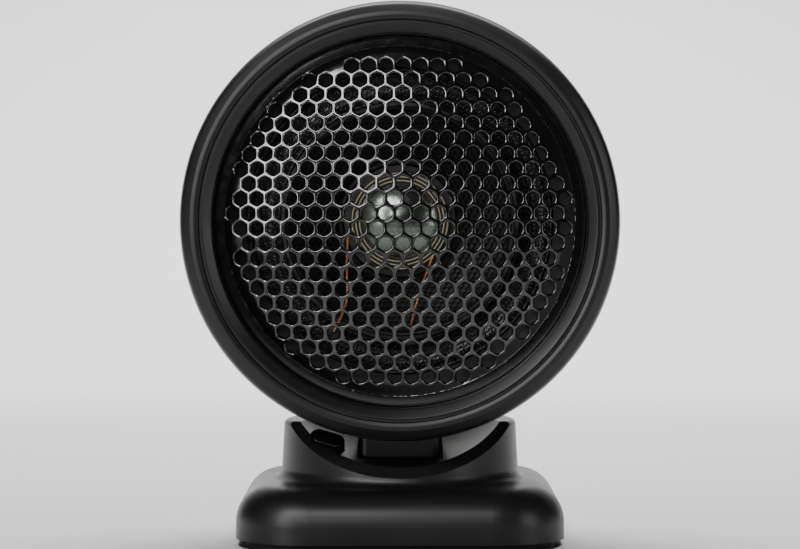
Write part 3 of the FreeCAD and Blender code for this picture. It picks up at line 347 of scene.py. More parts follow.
def woven_glass(colours):
    """Dark, resin-stiffened glass-fibre strands."""
    finish = Finish("woven_glass", Specular_IOR_Level=0.4, Coat_Weight=0.15, Coat_Roughness=0.12)
    strand = finish.noise(2600.0, 2.0, 0.5)
    patch = finish.noise(200.0, 3.0)
    tone = finish.nodes.mix(patch, (0.004, 0.004, 0.0045, 1), (0.01, 0.01, 0.0104, 1))
    finish.colour(finish.nodes.mix(strand * 0.4, tone, (0.025, 0.025, 0.024, 1)))
    finish.roughness(finish.nodes.spread(strand, 0.3, 0.7, 0.16, 0.34))
    finish.bump(strand, 3.0e-5, 0.6)
    return finish.material


def copper_braid(colours):
    finish = Finish("copper_braid", Metallic=1.0)
    tarnish = finish.noise(260.0, 3.0)
    tone = finish.nodes.mix(tarnish, shade(colours.copper, 0.75), shade(colours.copper, 1.2))
    dull = finish.nodes.spread(tarnish, 0.58, 0.75)
    finish.colour(finish.nodes.mix(dull * 0.5, tone, (0.22, 0.1, 0.05, 1)))
    finish.roughness(finish.nodes.spread(tarnish, 0.3, 0.7, 0.22, 0.4))
    finish.bump(finish.noise(4000.0, 2.0), 6e-6, 0.5)
    return finish.material


def sintered_bronze(colours):
    finish = Finish("sintered_bronze", Metallic=1.0)
    pores = finish.cells(2200.0)
    finish.colour(finish.nodes.mix(pores, (0.3, 0.19, 0.09, 1), (0.58, 0.4, 0.2, 1)))
    finish.roughness(finish.nodes.spread(pores, 0.2, 0.8, 0.35, 0.55))
    finish.bump(pores, 1.5e-5, 0.5)
    return finish.material


def circuit_board(colours):
    """Green solder mask over fine tracks."""
    finish = Finish("circuit_board", Specular_IOR_Level=0.55)
    tracks = finish.nodes.add("ShaderNodeTexBrick", {}, {
        "Vector": finish.place, "Scale": 160.0, "Mortar Size": 0.03}, 1)
    cloud = finish.noise(90.0, 3.0)
    tone = finish.nodes.mix(cloud, (0.012, 0.07, 0.03, 1), (0.02, 0.11, 0.045, 1))
    finish.colour(finish.nodes.mix(tracks, tone, (0.05, 0.2, 0.09, 1)))
    finish.roughness(finish.nodes.spread(cloud, 0.3, 0.7, 0.25, 0.4))
    finish.bump(tracks, 2.0e-5, 0.6)
    return finish.material


FINISHES = {
    "casing": casing_plastic,
    "inner_plastic": inner_plastic,
    "fan_plastic": fan_plastic,
    "switch_plastic": switch_plastic,
    "button_plastic": button_plastic,
    "grille_steel": grille_enamel,
    "pad_rubber": pad_rubber,
    "steel": plated_steel,
    "dark_steel": black_oxide,
    "aluminium": satin_aluminium,
    "polished": polished_steel,
    "heater_ceramic": heater_ceramic,
    "cream_ceramic": cream_ceramic,
    "glass_fibre": woven_glass,
    "copper": copper_braid,
    "bronze": sintered_bronze,
    "board": circuit_board,
}
MADE = {}


def finish_for(slot):
    """The material of one of the record's slots, made once."""
    if slot not in MADE:
        MADE[slot] = FINISHES[slot](bpy.context.scene.heater_colours)
    return MADE[slot]


# ------------------------------------------------------------ mesh helpers
def piece_from(name, mesh, body, slot, replaced=()):
    """Puts a mesh in the scene as a finished piece of the heater."""
    piece = bpy.data.objects.new(name, mesh)
    bpy.context.scene.collection.objects.link(piece)
    if not mesh.materials:
        mesh.materials.append(finish_for(slot))
    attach(piece, body)
    if replaced:
        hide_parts(*replaced)
    return piece


def soft_corner(before, corner, after, radius, steps):
    """Points of a rounded corner between two straight runs."""
    back = (before - corner)
    ahead = (after - corner)
    turn = math.pi - back.angle(ahead)
    if turn < 0.02 or radius <= 0:
        return [corner]
    reach = min(radius * math.tan(turn / 2), back.length * 0.45, ahead.length * 0.45)
    start = corner + back.normalized() * reach
    end = corner + ahead.normalized() * reach
    points = []
    for i in range(steps + 1):
        t = i / steps
        points.append(start.lerp(corner, t).lerp(corner.lerp(end, t), t))
    return points


def rounded(profile, radius, steps=4, closed=True):
    """Rounds the corners of a profile of (r, y) or (r, y, own radius) points."""
    points = [Vector(p[:2]) for p in profile]
    count = len(points)
    outline = []
    for i, corner in enumerate(points):
        own = profile[i][2] if len(profile[i]) > 2 else radius
        if not closed and i in (0, count - 1):
            outline.append(corner)
            continue
        outline += soft_corner(points[i - 1], corner, points[(i + 1) % count], own, steps)
    return outline


def spin(name, outline, turns=192, closed=True):
    """Mesh of an (r, y) outline turned about the head's axis."""
    bm = bmesh.new()
    loops = []
    for point in outline:
        if point.x < 1e-7:
            loops.append([bm.verts.new((0, point.y, HEAD_Z))])
            continue
        loop = []
        for i in range(turns):
            a = 2 * math.pi * i / turns
            loop.append(bm.verts.new((point.x * math.cos(a), point.y, HEAD_Z + point.x * math.sin(a))))
        loops.append(loop)
    count = len(loops)
    for i in range(count if closed else count - 1):
        first, second = loops[i], loops[(i + 1) % count]
        if len(first) == 1 and len(second) == 1:
            continue
        for j in range(turns):
            k = (j + 1) % turns
            corners = [first[j % len(first)], first[k % len(first)],
                       second[k % len(second)], second[j % len(second)]]
            bm.faces.new(list(dict.fromkeys(corners)))
    return mesh_of(name, bm)


def mesh_of(name, bm, smooth=True):
    """Closes a bmesh into a mesh with outward normals."""
    bmesh.ops.remove_doubles(bm, verts=bm.verts, dist=1e-7)
    bmesh.ops.recalc_face_normals(bm, faces=bm.faces)
    mesh = bpy.data.meshes.new(name)
    bm.to_mesh(mesh)
    bm.free()
    if smooth:
        mesh.shade_smooth()
    return mesh


# ------------------------------------------------------------ geometry trees
class Plan(Nodes):
    """A Geometry Nodes tree with named inputs, baked to a plain mesh."""

    def __init__(self, name, **inputs):
        tree = bpy.data.node_groups.new(name, "GeometryNodeTree")
        super().__init__(tree)
        tree.interface.new_socket("Geometry", in_out="INPUT", socket_type="NodeSocketGeometry")
        tree.interface.new_socket("Geometry", in_out="OUTPUT", socket_type="NodeSocketGeometry")
        self.sockets = {}
        for label, value in inputs.items():
            kind = "NodeSocketInt" if isinstance(value, int) else "NodeSocketFloat"
            self.sockets[label] = tree.interface.new_socket(label, in_out="INPUT", socket_type=kind)
        self.values = inputs
        self.group_in = tree.nodes.new("NodeGroupInput")
        self.group_out = tree.nodes.new("NodeGroupOutput")
        self.start = Value(self, self.group_in.outputs[0])

    def __getitem__(self, label):
        return Value(self, self.group_in.outputs[label])

    def join(self, *parts):
        join = self.tree.nodes.new("GeometryNodeJoinGeometry")
        for part in parts:
            self.tree.links.new(part.socket, join.inputs[0])
        return Value(self, join.outputs[0])

    def vector(self, x, y, z):
        return self.add("ShaderNodeCombineXYZ", {}, {0: x, 1: y, 2: z})

    def bake(self, name, source, geometry, slot):
        """Ends the tree, runs it on a source mesh and gives the plain mesh."""
        solid = self.add("GeometryNodeRealizeInstances", {}, {0: geometry})
        coated = self.add("GeometryNodeSetMaterial", {}, {0: solid, 2: finish_for(slot)})
        self.tree.links.new(coated.socket, self.group_out.inputs[0])
        maker = bpy.data.objects.new(name, source)
        bpy.context.scene.collection.objects.link(maker)
        modifier = maker.modifiers.new(name, "NODES")
        modifier.node_group = self.tree
        for label, value in self.values.items():
            modifier[self.sockets[label].identifier] = value
        graph = bpy.context.evaluated_depsgraph_get()
        mesh = bpy.data.meshes.new_from_object(maker.evaluated_get(graph), depsgraph=graph)
        mesh.name = name
        maker.modifiers.remove(modifier)
        bpy.data.objects.remove(maker)
        return mesh


# ------------------------------------------------------------ user's sizes and colours
def length_setting(name, description, default):
    """A length that a user may change."""
    return bpy.props.FloatProperty(
        name=name, description=description, default=default, unit="LENGTH", subtype="DISTANCE")


def colour_setting(name, description, *default):
    """A colour that a user may change."""
    return bpy.props.FloatVectorProperty(
        name=name, description=description, default=(*default, 1), size=4, subtype="COLOR")


class HeaterSizes(bpy.types.PropertyGroup):
    """Sizes that the finished pieces are made from."""

    hole_radius: length_setting("Hole radius", "Radius of the grille's holes", 2.4 * MM)
    hole_pitch: length_setting("Hole pitch", "Distance between the grille's holes", 6.15 * MM)
    hole_edge: length_setting("Hole edge", "How deep each hole's edge is rolled over", 0.5 * MM)
    cell_pitch: length_setting("Cell pitch", "Distance between the ceramic's cells", 2.0 * MM)
    cell_wall: length_setting("Cell wall", "Thickness of the ceramic's cell walls", 0.32 * MM)
    strand_pitch: length_setting("Strand pitch", "Distance between the seal's woven strands", 1.5 * MM)
    ridges: bpy.props.IntProperty(
        name="Ridges", description="Ridges on the cream former", default=3)


class HeaterColours(bpy.types.PropertyGroup):
    """Colours of the finished materials."""

    casing: colour_setting("Casing", "Moulded casing", 0.0052, 0.0053, 0.0056)
    grille: colour_setting("Grille", "Painted grille", 0.002, 0.002, 0.0021)
    cream: colour_setting("Former", "Cream ceramic", 0.62, 0.55, 0.38)
    dome: colour_setting("Dome", "Polished dome", 0.36, 0.4, 0.355)
    copper: colour_setting("Leads", "Copper braid", 0.72, 0.3, 0.14)
    floor: colour_setting("Floor", "Studio floor", 0.82, 0.82, 0.81)


# ------------------------------------------------------------ operators
class HEATER_OT_finish_nodes(bpy.types.Operator):
    """Give every part of the frame its finished material"""

    bl_idname = "heater.finish_nodes"
    bl_label = "Finish the frame's parts"

    def execute(self, context):
        slots = {part["node"]: part["material_slot"] for part in frame["record"]["subparts"]}
        for node, thing in frame["nodes"].items():
            if not thing.material_slots:
                thing.data.materials.append(None)
            for slot in thing.material_slots:
                slot.material = finish_for(slots[node])
        return {"FINISHED"}


RING_WIDTH = 11.4 * MM       # outside of the ring to its clear opening


class HEATER_OT_front_ring(bpy.types.Operator):
    """Build the stepped front ring"""

    bl_idname = "heater.front_ring"
    bl_label = "Front ring"

    def execute(self, context):
        front, back, outer = FRONT_Y, RING_BACK_Y, RING_R
        opening = outer - RING_WIDTH
        groove = opening + 3.2 * MM
        outline = [
            (opening, front + 3.0 * MM, 0.5 * MM),
            (groove, front + 0.8 * MM, 0.35 * MM),
            (groove + 0.15 * MM, front + 1.7 * MM, 0.1 * MM),
            (groove + 1.0 * MM, front + 1.7 * MM, 0.1 * MM),
            (groove + 1.3 * MM, front + 0.5 * MM, 0.3 * MM),
            (outer - 5.6 * MM, front, 1.2 * MM),
            (outer - 4.2 * MM, front + 0.3 * MM, 0.5 * MM),
            (outer - 0.9 * MM, front + 2.4 * MM, 3.4 * MM),
            (outer, front + 8.0 * MM, 4.0 * MM),
            (outer - 0.7 * MM, back, 0.5 * MM),
            (outer - 2.5 * MM, back, 0.4 * MM),
            (outer - 2.6 * MM, front + 7.0 * MM, 0.4 * MM),
            (opening + 3.6 * MM, front + 5.0 * MM, 0.4 * MM),
            (opening + 3.6 * MM, front + 14.5 * MM, 0.3 * MM),
            (opening + 1.6 * MM, front + 14.5 * MM, 0.3 * MM),
            (opening + 1.6 * MM, front + 10.4 * MM, 0.0),
            (opening - 0.3 * MM, front + 10.4 * MM, 0.3 * MM),
        ]
        mesh = spin("front_ring", rounded(outline, 0.3 * MM, 5), 256)
        piece_from("front_ring", mesh, "head", "casing", ["front_bezel"])
        return {"FINISHED"}


def hex_reach(angle, half_width):
    """Distance to the side of a hexagon whose sides lie across 0, 60, 120... degrees."""
    lean = (angle + math.pi / 6) % (math.pi / 3) - math.pi / 6
    return half_width / math.cos(lean)


def band(bm, first, second):
    """Faces between two rings of as many vertices."""
    count = len(first)
    for i in range(count):
        bm.faces.new((first[i], first[(i + 1) % count], second[(i + 1) % count], second[i]))


def hex_loop(bm, half, y, share, hole=0.0, sides=24):
    """Ring of vertices part of the way from a round hole to a hexagon's sides."""
    loop = []
    for i in range(sides):
        angle = 2 * math.pi * i / sides
        reach = hole + (hex_reach(angle, half) - hole) * share
        loop.append(bm.verts.new((reach * math.cos(angle), y, reach * math.sin(angle))))
    return loop


def tile_mesh(name, bm):
    """Finished tile, facing outwards."""
    mesh = bpy.data.meshes.new(name)
    bm.to_mesh(mesh)
    bm.free()
    return mesh


ROLL_SHARE = 0.72            # how much of the web rolls over into a hole


def perforated_tile(sizes, thick):
    """One hexagon of sheet whose surface rolls over from its sides into a round hole."""
    bm = bmesh.new()
    half, hole = sizes.hole_pitch / 2, sizes.hole_radius
    front = [(1, 0.0)]
    for share in (1, 0.6, 0.25, 0):
        front.append((ROLL_SHARE * share, sizes.hole_edge * (1 - math.sqrt(1 - (1 - share) ** 2))))
    loops = [hex_loop(bm, half, y, share, hole) for share, y in front]
    loops += [hex_loop(bm, half, thick, share, hole) for share in (0, 1)]
    for first, second in zip(loops, loops[1:]):
        band(bm, first, second)
    return tile_mesh("perforated_tile", bm)


def blank_tile(sizes, thick):
    """One hexagon of plain sheet, front and back."""
    bm = bmesh.new()
    for y, way in ((0.0, 1), (thick, -1)):
        loops = [hex_loop(bm, sizes.hole_pitch / 2, y, share)[::way] for share in (1, 0.66, 0.33)]
        for first, second in zip(loops, loops[1:]):
            band(bm, first, second)
        bm.faces.new(loops[-1])
    return tile_mesh("blank_tile", bm)


def spots_mesh(name, spots):
    """Mesh of loose points."""
    mesh = bpy.data.meshes.new(name)
    mesh.from_pydata([tuple(spot) for spot in spots], [], [])
    return mesh


GRILLE_THICK = 1.0 * MM
GRILLE_RISE = GRILLE_BACK_Y - GRILLE_THICK - node_box("grille")[0].y
FIELD_R = RING_R - RING_WIDTH - 4.2 * MM
DOME_SPHERE_R = (FIELD_R ** 2 + GRILLE_RISE ** 2) / (2 * GRILLE_RISE)
FIELD_REACH = DOME_SPHERE_R * math.asin(FIELD_R / DOME_SPHERE_R)      # along the sheet
ROW_SHIFT = 0.18             # how far a row of holes stands off the middle, in pitches


class HEATER_OT_grille(bpy.types.Operator):
    """Build the domed, perforated grille"""

    bl_idname = "heater.grille"
    bl_label = "Grille"

    def execute(self, context):
        sizes = context.scene.heater_sizes
        pitch = sizes.hole_pitch
        row_step = pitch * math.sqrt(3) / 2
        edge_reach = FIELD_REACH + GRILLE_R - FIELD_R
        plan = Plan("grille_plan", **{
            "Sphere radius": DOME_SPHERE_R, "Field reach": FIELD_REACH, "Edge reach": edge_reach,
            "Pitch": pitch, "Hole radius": sizes.hole_radius})
        x, depth, z = split_place(plan)
        reach = (x * x + z * z).apply("SQRT")
        whole = plan["Field reach"] - plan["Hole radius"] > reach
        outside = reach > plan["Edge reach"] + plan["Pitch"] * 0.56
        kept = plan.add("GeometryNodeDeleteGeometry", {"domain": "POINT"}, {0: plan.start, 1: outside})
        tiles = []
        for maker, chosen in ((perforated_tile, whole), (blank_tile, 1 - whole)):
            tile = bpy.data.objects.new("tile", maker(sizes, GRILLE_THICK))
            holder = plan.node("GeometryNodeObjectInfo", {"transform_space": "ORIGINAL"}, {0: tile})
            tiles.append(plan.add("GeometryNodeInstanceOnPoints", {}, {
                0: kept, 1: chosen, 2: Value(plan, holder.outputs["Geometry"])}))
        sheet = plan.add("GeometryNodeRealizeInstances", {}, {0: plan.join(*tiles)})
        # inside the field the sheet follows the sphere, and past it a flat border, up to its edge
        reach = (x * x + z * z).apply("SQRT")
        held = reach.apply("MINIMUM", plan["Edge reach"])
        on_dome = held.apply("MINIMUM", plan["Field reach"])
        lean = on_dome / plan["Sphere radius"]
        inside = plan["Field reach"] > reach
        ball = plan["Sphere radius"] - depth * inside
        out = ball * lean.apply("SINE") + (held - on_dome)
        dish = plan["Sphere radius"] - ball * lean.apply("COSINE") + depth * (1 - inside)
        turn = out / reach.apply("MAXIMUM", 1e-6)
        low_y = GRILLE_BACK_Y - GRILLE_THICK - GRILLE_RISE
        moved = plan.add("GeometryNodeSetPosition", {}, {
            0: sheet, 2: plan.vector(x * turn, dish + low_y, z * turn + HEAD_Z)})
        welded = plan.add("GeometryNodeMergeByDistance", {}, {0: moved, "Distance": 0.004 * MM})
        count = int(GRILLE_R / row_step) + 3
        spots = []
        for row in range(-count, count):
            shift = pitch * (ROW_SHIFT + (0 if row % 2 == 0 else 0.5))
            spots += [(column * pitch + shift, 0, (row + 0.5) * row_step) for column in range(-count, count)]
        mesh = plan.bake("grille_sheet", spots_mesh("grille_centres", spots), welded, "grille_steel")
        close_rim(mesh)
        piece_from("grille_sheet", mesh, "head", "grille_steel", ["grille"])
        face_y = GRILLE_BACK_Y - GRILLE_THICK
        proud_y = face_y - 0.05 * MM
        rim_r = GRILLE_R - 0.3 * MM
        outline = [(FIELD_R - 0.3 * MM, face_y + 0.15 * MM), (FIELD_R + 0.2 * MM, proud_y),
                   (rim_r, proud_y), (rim_r, face_y + 0.4 * MM)]
        border = spin("grille_border", rounded(outline, 0.15 * MM))
        piece_from("grille_border", border, "head", "grille_steel")
        return {"FINISHED"}


def split_place(plan):
    """The three coordinates of the point that a plan is working on."""
    place = plan.node("ShaderNodeSeparateXYZ", {}, {0: plan.add("GeometryNodeInputPosition")})
    return [Value(plan, place.outputs[i]) for i in range(3)]


def close_rim(mesh):
    """Joins the front and back edges of a sheet that was made open at its rim."""
    bm = bmesh.new()
    bm.from_mesh(mesh)
    flat = [face for face in bm.faces if face.calc_area() < 1e-11]
    bmesh.ops.delete(bm, geom=flat, context="FACES")
    border_y = GRILLE_BACK_Y - GRILLE_THICK / 2
    partner = {}
    rim = [edge for edge in bm.edges if edge.is_boundary]
    for vert in {vert for edge in rim for vert in edge.verts if vert.co.y > border_y}:
        partner[(round(vert.co.x, 6), round(vert.co.z, 6))] = vert
    for edge in rim:
        first, second = edge.verts
        if first.co.y < border_y and second.co.y < border_y:
            back = [partner.get((round(v.co.x, 6), round(v.co.z, 6))) for v in (second, first)]
            if all(back):
                bm.faces.new((first, second, *back))
                edge.smooth = False
    bmesh.ops.recalc_face_normals(bm, faces=bm.faces)
    bm.to_mesh(mesh)
    bm.free()
    mesh.shade_smooth()


ELEMENT_LOW, ELEMENT_HIGH, _ = node_box("ceramic_element")
ELEMENT_R = (ELEMENT_HIGH.x - ELEMENT_LOW.x) / 2
ELEMENT_INNER_R = 20.0 * MM
ELEMENT_DISH = 9.0 * MM
ELEMENT_THICK = 7.0 * MM
ELEMENT_SAG = 1.2 * MM


class HEATER_OT_element(bpy.types.Operator):
    """Build the dished honeycomb ceramic"""

    bl_idname = "heater.element"
    bl_label = "Honeycomb element"

    def execute(self, context):
        sizes = context.scene.heater_sizes
        pitch = sizes.cell_pitch
        plan = Plan("honeycomb_plan", **{"Inner radius": ELEMENT_INNER_R, "Outer radius": ELEMENT_R,
                                         "Dish": ELEMENT_DISH, "Pitch": pitch})
        x, y, z = split_place(plan)
        reach = (x * x + z * z).apply("SQRT")
        margin = plan["Pitch"] * 0.62
        outside = (reach > plan["Outer radius"] - margin) + (plan["Inner radius"] + margin > reach)
        kept = plan.add("GeometryNodeDeleteGeometry", {"domain": "POINT"}, {0: plan.start, 1: outside > 0.5})
        cell = bpy.data.objects.new("cell", honeycomb_cell(sizes))
        holder = plan.node("GeometryNodeObjectInfo", {"transform_space": "ORIGINAL"}, {0: cell})
        cells = plan.add("GeometryNodeInstanceOnPoints", {}, {
            0: kept, 2: Value(plan, holder.outputs["Geometry"])})
        solid = plan.add("GeometryNodeRealizeInstances", {}, {0: cells})
        share = (reach - plan["Inner radius"]) / (plan["Outer radius"] - plan["Inner radius"])
        lean = share * plan["Dish"] + (1 - share) * share * (4 * ELEMENT_SAG)
        moved = plan.add("GeometryNodeSetPosition", {}, {
            0: solid, 2: plan.vector(x, y + ELEMENT_HIGH.y - ELEMENT_THICK - lean, z + HEAD_Z)})
        welded = plan.add("GeometryNodeMergeByDistance", {}, {0: moved, "Distance": 0.002 * MM})
        row_step = pitch * math.sqrt(3) / 2
        count = int(ELEMENT_R / row_step) + 1
        spots = [(column * pitch + (pitch / 2 if row % 2 else 0.0), 0, row * row_step)
                 for row in range(-count, count + 1) for column in range(-count, count + 1)]
        mesh = plan.bake("honeycomb_face", spots_mesh("cell_centres", spots), welded, "heater_ceramic")
        piece_from("honeycomb_face", mesh, "head", "heater_ceramic")
        front = ELEMENT_HIGH.y - ELEMENT_THICK
        steps = 10
        face, back = [], []
        for i in range(steps + 1):
            share = i / steps
            r = ELEMENT_INNER_R + (ELEMENT_R - ELEMENT_INNER_R) * share
            y = front - ELEMENT_DISH * share - 4 * ELEMENT_SAG * share * (1 - share)
            face.append((r, y + 1.3 * MM, 0))
            back.append((r, y + ELEMENT_THICK, 0))
        rim_in = (ELEMENT_INNER_R, front, 0.1 * MM)
        lip_in = (ELEMENT_INNER_R + 0.9 * MM, front - 0.6 * MM, 0.1 * MM)
        rim_out = (ELEMENT_R, front - ELEMENT_DISH, 0.1 * MM)
        lip_out = (ELEMENT_R - 0.9 * MM, front - ELEMENT_DISH + 0.3 * MM, 0.1 * MM)
        outline = [rim_in, lip_in] + face[1:-1] + [lip_out, rim_out] + back[::-1]
        body = spin("honeycomb_body", rounded(outline, 0.0, 3), 128)
        piece_from("honeycomb_body", body, "head", "heater_ceramic", ["ceramic_element"])
        return {"FINISHED"}


def honeycomb_cell(sizes):
    """A hexagonal cell: flat rim, chamfer and a well with a floor."""
    bm = bmesh.new()
    half, wall = sizes.cell_pitch / 2, sizes.cell_wall / 2
    rings = []
    rim, well = half - wall * 0.6, half - wall
    for reach, y in ((half, 0.0), (rim, 0.0), (well, wall * 0.5), (well, 1.25 * MM)):
        corner = reach / math.cos(math.pi / 6)
        ways = [math.pi / 3 * i + math.pi / 6 for i in range(6)]
        rings.append([bm.verts.new((corner * math.cos(a), y, corner * math.sin(a))) for a in ways])
    for first, second in zip(rings, rings[1:]):
        band(bm, first, second)
    bm.faces.new(rings[-1])
    return mesh_of("honeycomb_cell", bm, smooth=False)


GASKET_LOW, GASKET_HIGH, _ = node_box("gasket_ring")
GASKET_R = (GASKET_HIGH.x - GASKET_LOW.x) / 2
GASKET_WIDTH = 12.0 * MM
GASKET_DIP = 4.0 * MM


class HEATER_OT_gasket(bpy.types.Operator):
    """Build the woven seal in its half-round channel"""

    bl_idname = "heater.gasket"
    bl_label = "Woven seal"

    def execute(self, context):
        sizes = context.scene.heater_sizes
        front = GASKET_LOW.y
        outer, inner = GASKET_R, GASKET_R - GASKET_WIDTH
        middle = (outer + inner) / 2
        half = GASKET_WIDTH / 2 - 1.0 * MM
        arc_steps = 18

        def channel(depth):
            return [(middle + half * math.cos(a), front + depth + GASKET_DIP * math.sin(a))
                    for a in (math.pi * i / arc_steps for i in range(arc_steps + 1))]

        outline = [(outer, front + 0.15 * MM)] + channel(0.15 * MM) + [(inner, front + 0.15 * MM)]
        outline += [(inner, front + 1.25 * MM)] + channel(1.25 * MM)[::-1] + [(outer, front + 1.25 * MM)]
        base = spin("seal_backing", rounded(outline, 0.0), 160)
        piece_from("seal_backing", base, "head", "glass_fibre", ["gasket_ring"])
        plan = Plan("weave_plan", **{
            "Strand length": sizes.strand_pitch * 1.45, "Strand width": sizes.strand_pitch * 0.62})
        strand = bpy.data.objects.new("strand", strand_mesh())
        holder = plan.node("GeometryNodeObjectInfo", {"transform_space": "ORIGINAL"}, {0: strand})
        normal = plan.add("GeometryNodeInputNamedAttribute", {"data_type": "FLOAT_VECTOR"}, {0: "face_way"})
        along = plan.add("GeometryNodeInputNamedAttribute", {"data_type": "FLOAT_VECTOR"}, {0: "strand_way"})
        up = plan.add("FunctionNodeAlignRotationToVector", {"axis": "Z"}, {"Vector": normal})
        turned = plan.add("FunctionNodeAlignRotationToVector", {"axis": "X", "pivot_axis": "Z"},
                          {"Rotation": up, "Vector": along})
        strands = plan.add("GeometryNodeInstanceOnPoints", {}, {
            0: plan.start, 2: Value(plan, holder.outputs["Geometry"]), "Rotation": turned,
            "Scale": plan.vector(plan["Strand length"], plan["Strand width"], plan["Strand width"] * 0.8)})
        mesh = plan.bake("seal_weave", weave_spots(sizes, middle, half, front), strands, "glass_fibre")
        mesh.shade_smooth()
        piece_from("seal_weave", mesh, "head", "glass_fibre")
        return {"FINISHED"}


def strand_mesh():
    """A short bulging strand, one long, one wide and one high, with few faces."""
    bm = bmesh.new()
    rings = []
    ways = [2 * math.pi * i / 6 for i in range(6)]
    for x, r in ((-0.5, 0.12), (-0.34, 0.36), (0.0, 0.5), (0.34, 0.36), (0.5, 0.12)):
        rings.append([bm.verts.new((x, r * math.cos(a), 0.7 * r * math.sin(a))) for a in ways])
    for first, second in zip(rings, rings[1:]):
        band(bm, first, second)
    bm.faces.new(rings[0])
    bm.faces.new(rings[-1])
    return mesh_of("strand", bm, smooth=False)


def weave_spots(sizes, middle, half, front):
    """Points of a basket weave over the channel, with each strand's direction and the face's."""
    pitch = sizes.strand_pitch
    arc = math.pi * (half + GASKET_DIP) / 2
    rows = int(arc / pitch)
    spots, faces_way, strands_way = [], [], []
    for row in range(rows):
        a = math.pi * (row + 0.5) / rows
        r = middle + half * math.cos(a)
        y = front + GASKET_DIP * math.sin(a) + 0.05 * MM
        lean = Vector((-math.cos(a) / half, -math.sin(a) / GASKET_DIP)).normalized()
        slope = Vector((-half * math.sin(a), GASKET_DIP * math.cos(a))).normalized()
        count = int(2 * math.pi * r / pitch)
        for i in range(count):
            t = 2 * math.pi * (i + 0.5 * (row % 2)) / count
            out = Vector((math.cos(t), 0, math.sin(t)))
            back = Vector((0, 1, 0))
            around = Vector((-math.sin(t), 0, math.cos(t)))
            across = out * slope.x + back * slope.y
            way = around if (i + row) % 2 else across
            spots.append(Vector((r * math.cos(t), y, HEAD_Z + r * math.sin(t))))
            faces_way.append(out * lean.x + back * lean.y)
            strands_way.append(way + 0.45 * (across if (i + row) % 2 else around))
    mesh = spots_mesh("weave_spots", spots)
    for label, values in (("face_way", faces_way), ("strand_way", strands_way)):
        layer = mesh.attributes.new(label, "FLOAT_VECTOR", "POINT")
        for i, value in enumerate(values):
            layer.data[i].vector = value
    return mesh


FORMER_LOW, FORMER_HIGH, _ = node_box("ceramic_former")
FORMER_R = (FORMER_HIGH.x - FORMER_LOW.x) / 2
DOME_LOW, DOME_HIGH, _ = node_box("nose_dome")
DOME_R = (DOME_HIGH.x - DOME_LOW.x) / 2
GROOVE = 1.1 * MM            # depth between the former's ridges
STUD_HOLE_R = 1.55 * MM


class HEATER_OT_centre(bpy.types.Operator):
    """Build the polished dome and the ridged cream former"""

    bl_idname = "heater.centre"
    bl_label = "Dome and former"

    def execute(self, context):
        ridges = context.scene.heater_sizes.ridges
        start_r = DOME_R + 0.3 * MM
        step = (FORMER_R - start_r) / ridges
        crest = FORMER_LOW.y
        outline = [(STUD_HOLE_R, crest + GROOVE), (start_r, crest + GROOVE)]
        for i in range(ridges):
            for j in range(8):
                height = 0.5 - 0.5 * math.cos(2 * math.pi * j / 8)
                outline.append((start_r + step * (i + j / 8), crest + GROOVE * (1 - height ** 2)))
        outline += [(FORMER_R, crest + GROOVE), (FORMER_R, FORMER_HIGH.y), (STUD_HOLE_R, FORMER_HIGH.y)]
        former = spin("ridged_former", [Vector(p) for p in outline], 160)
        piece_from("ridged_former", former, "head", "cream_ceramic", ["ceramic_former"])
        rise = DOME_HIGH.y - 1.0 * MM - DOME_LOW.y
        ball = (DOME_R ** 2 + rise ** 2) / (2 * rise)
        steps = 28
        cap = []
        for i in range(steps + 1):
            r = DOME_R * i / steps
            cap.append(Vector((r, DOME_LOW.y + ball - math.sqrt(ball ** 2 - r ** 2))))
        rim = [Vector((DOME_R - 0.15 * MM, DOME_HIGH.y)), Vector((4.0 * MM, DOME_HIGH.y)),
               Vector((4.0 * MM, DOME_LOW.y + 2.6 * MM)), Vector((0, DOME_LOW.y + 2.6 * MM))]
        mesh = spin("polished_dome", cap + rim, 128, closed=False)
        piece_from("polished_dome", mesh, "head", "polished", ["nose_dome"])
        return {"FINISHED"}


class HEATER_OT_leads(bpy.types.Operator):
    """Build the two braided leads"""

    bl_idname = "heater.leads"
    bl_label = "Braided leads"

    def execute(self, context):
        tab_y = node_box("lead_terminals")[0].y
        end_y = tab_y - 0.47 * MM
        left_start = node_box("lead_left")[1]
        right_start = node_box("lead_right")[1]
        routes = {
            "lead_left": [(-18.6, left_start.y / MM - 0.45, -5.9), (-18.9, left_start.y / MM - 5.45, -15.5),
                          (-18.9, end_y / MM - 1.5, -28.4), (-23.4, end_y / MM, -39.2)],
            "lead_right": [(11.6, right_start.y / MM - 0.45, -12.6), (9.0, right_start.y / MM - 2.95, -19.4),
                           (4.6, end_y / MM - 1.5, -33.5), (3.6, end_y / MM, -42.0)],
        }
        for node, route in routes.items():
            points = [Vector((x * MM, y * MM, HEAD_Z + z * MM)) for x, y, z in route]
            mesh = braid(node + "_braid", points)
            piece_from(node + "_braid", mesh, "head", "copper", [node])
        return {"FINISHED"}


def smooth_path(points, steps=14):
    """Catmull-Rom points through a route."""
    line = []
    count = len(points)
    for i in range(count - 1):
        p0, p1, p2, p3 = (points[max(0, min(count - 1, i + k))] for k in (-1, 0, 1, 2))
        for j in range(steps):
            t = j / steps
            line.append(0.5 * ((2 * p1) + (p2 - p0) * t + (2 * p0 - 5 * p1 + 4 * p2 - p3) * t * t
                               + (3 * p1 - p0 - 3 * p2 + p3) * t ** 3))
    line.append(points[-1])
    return line


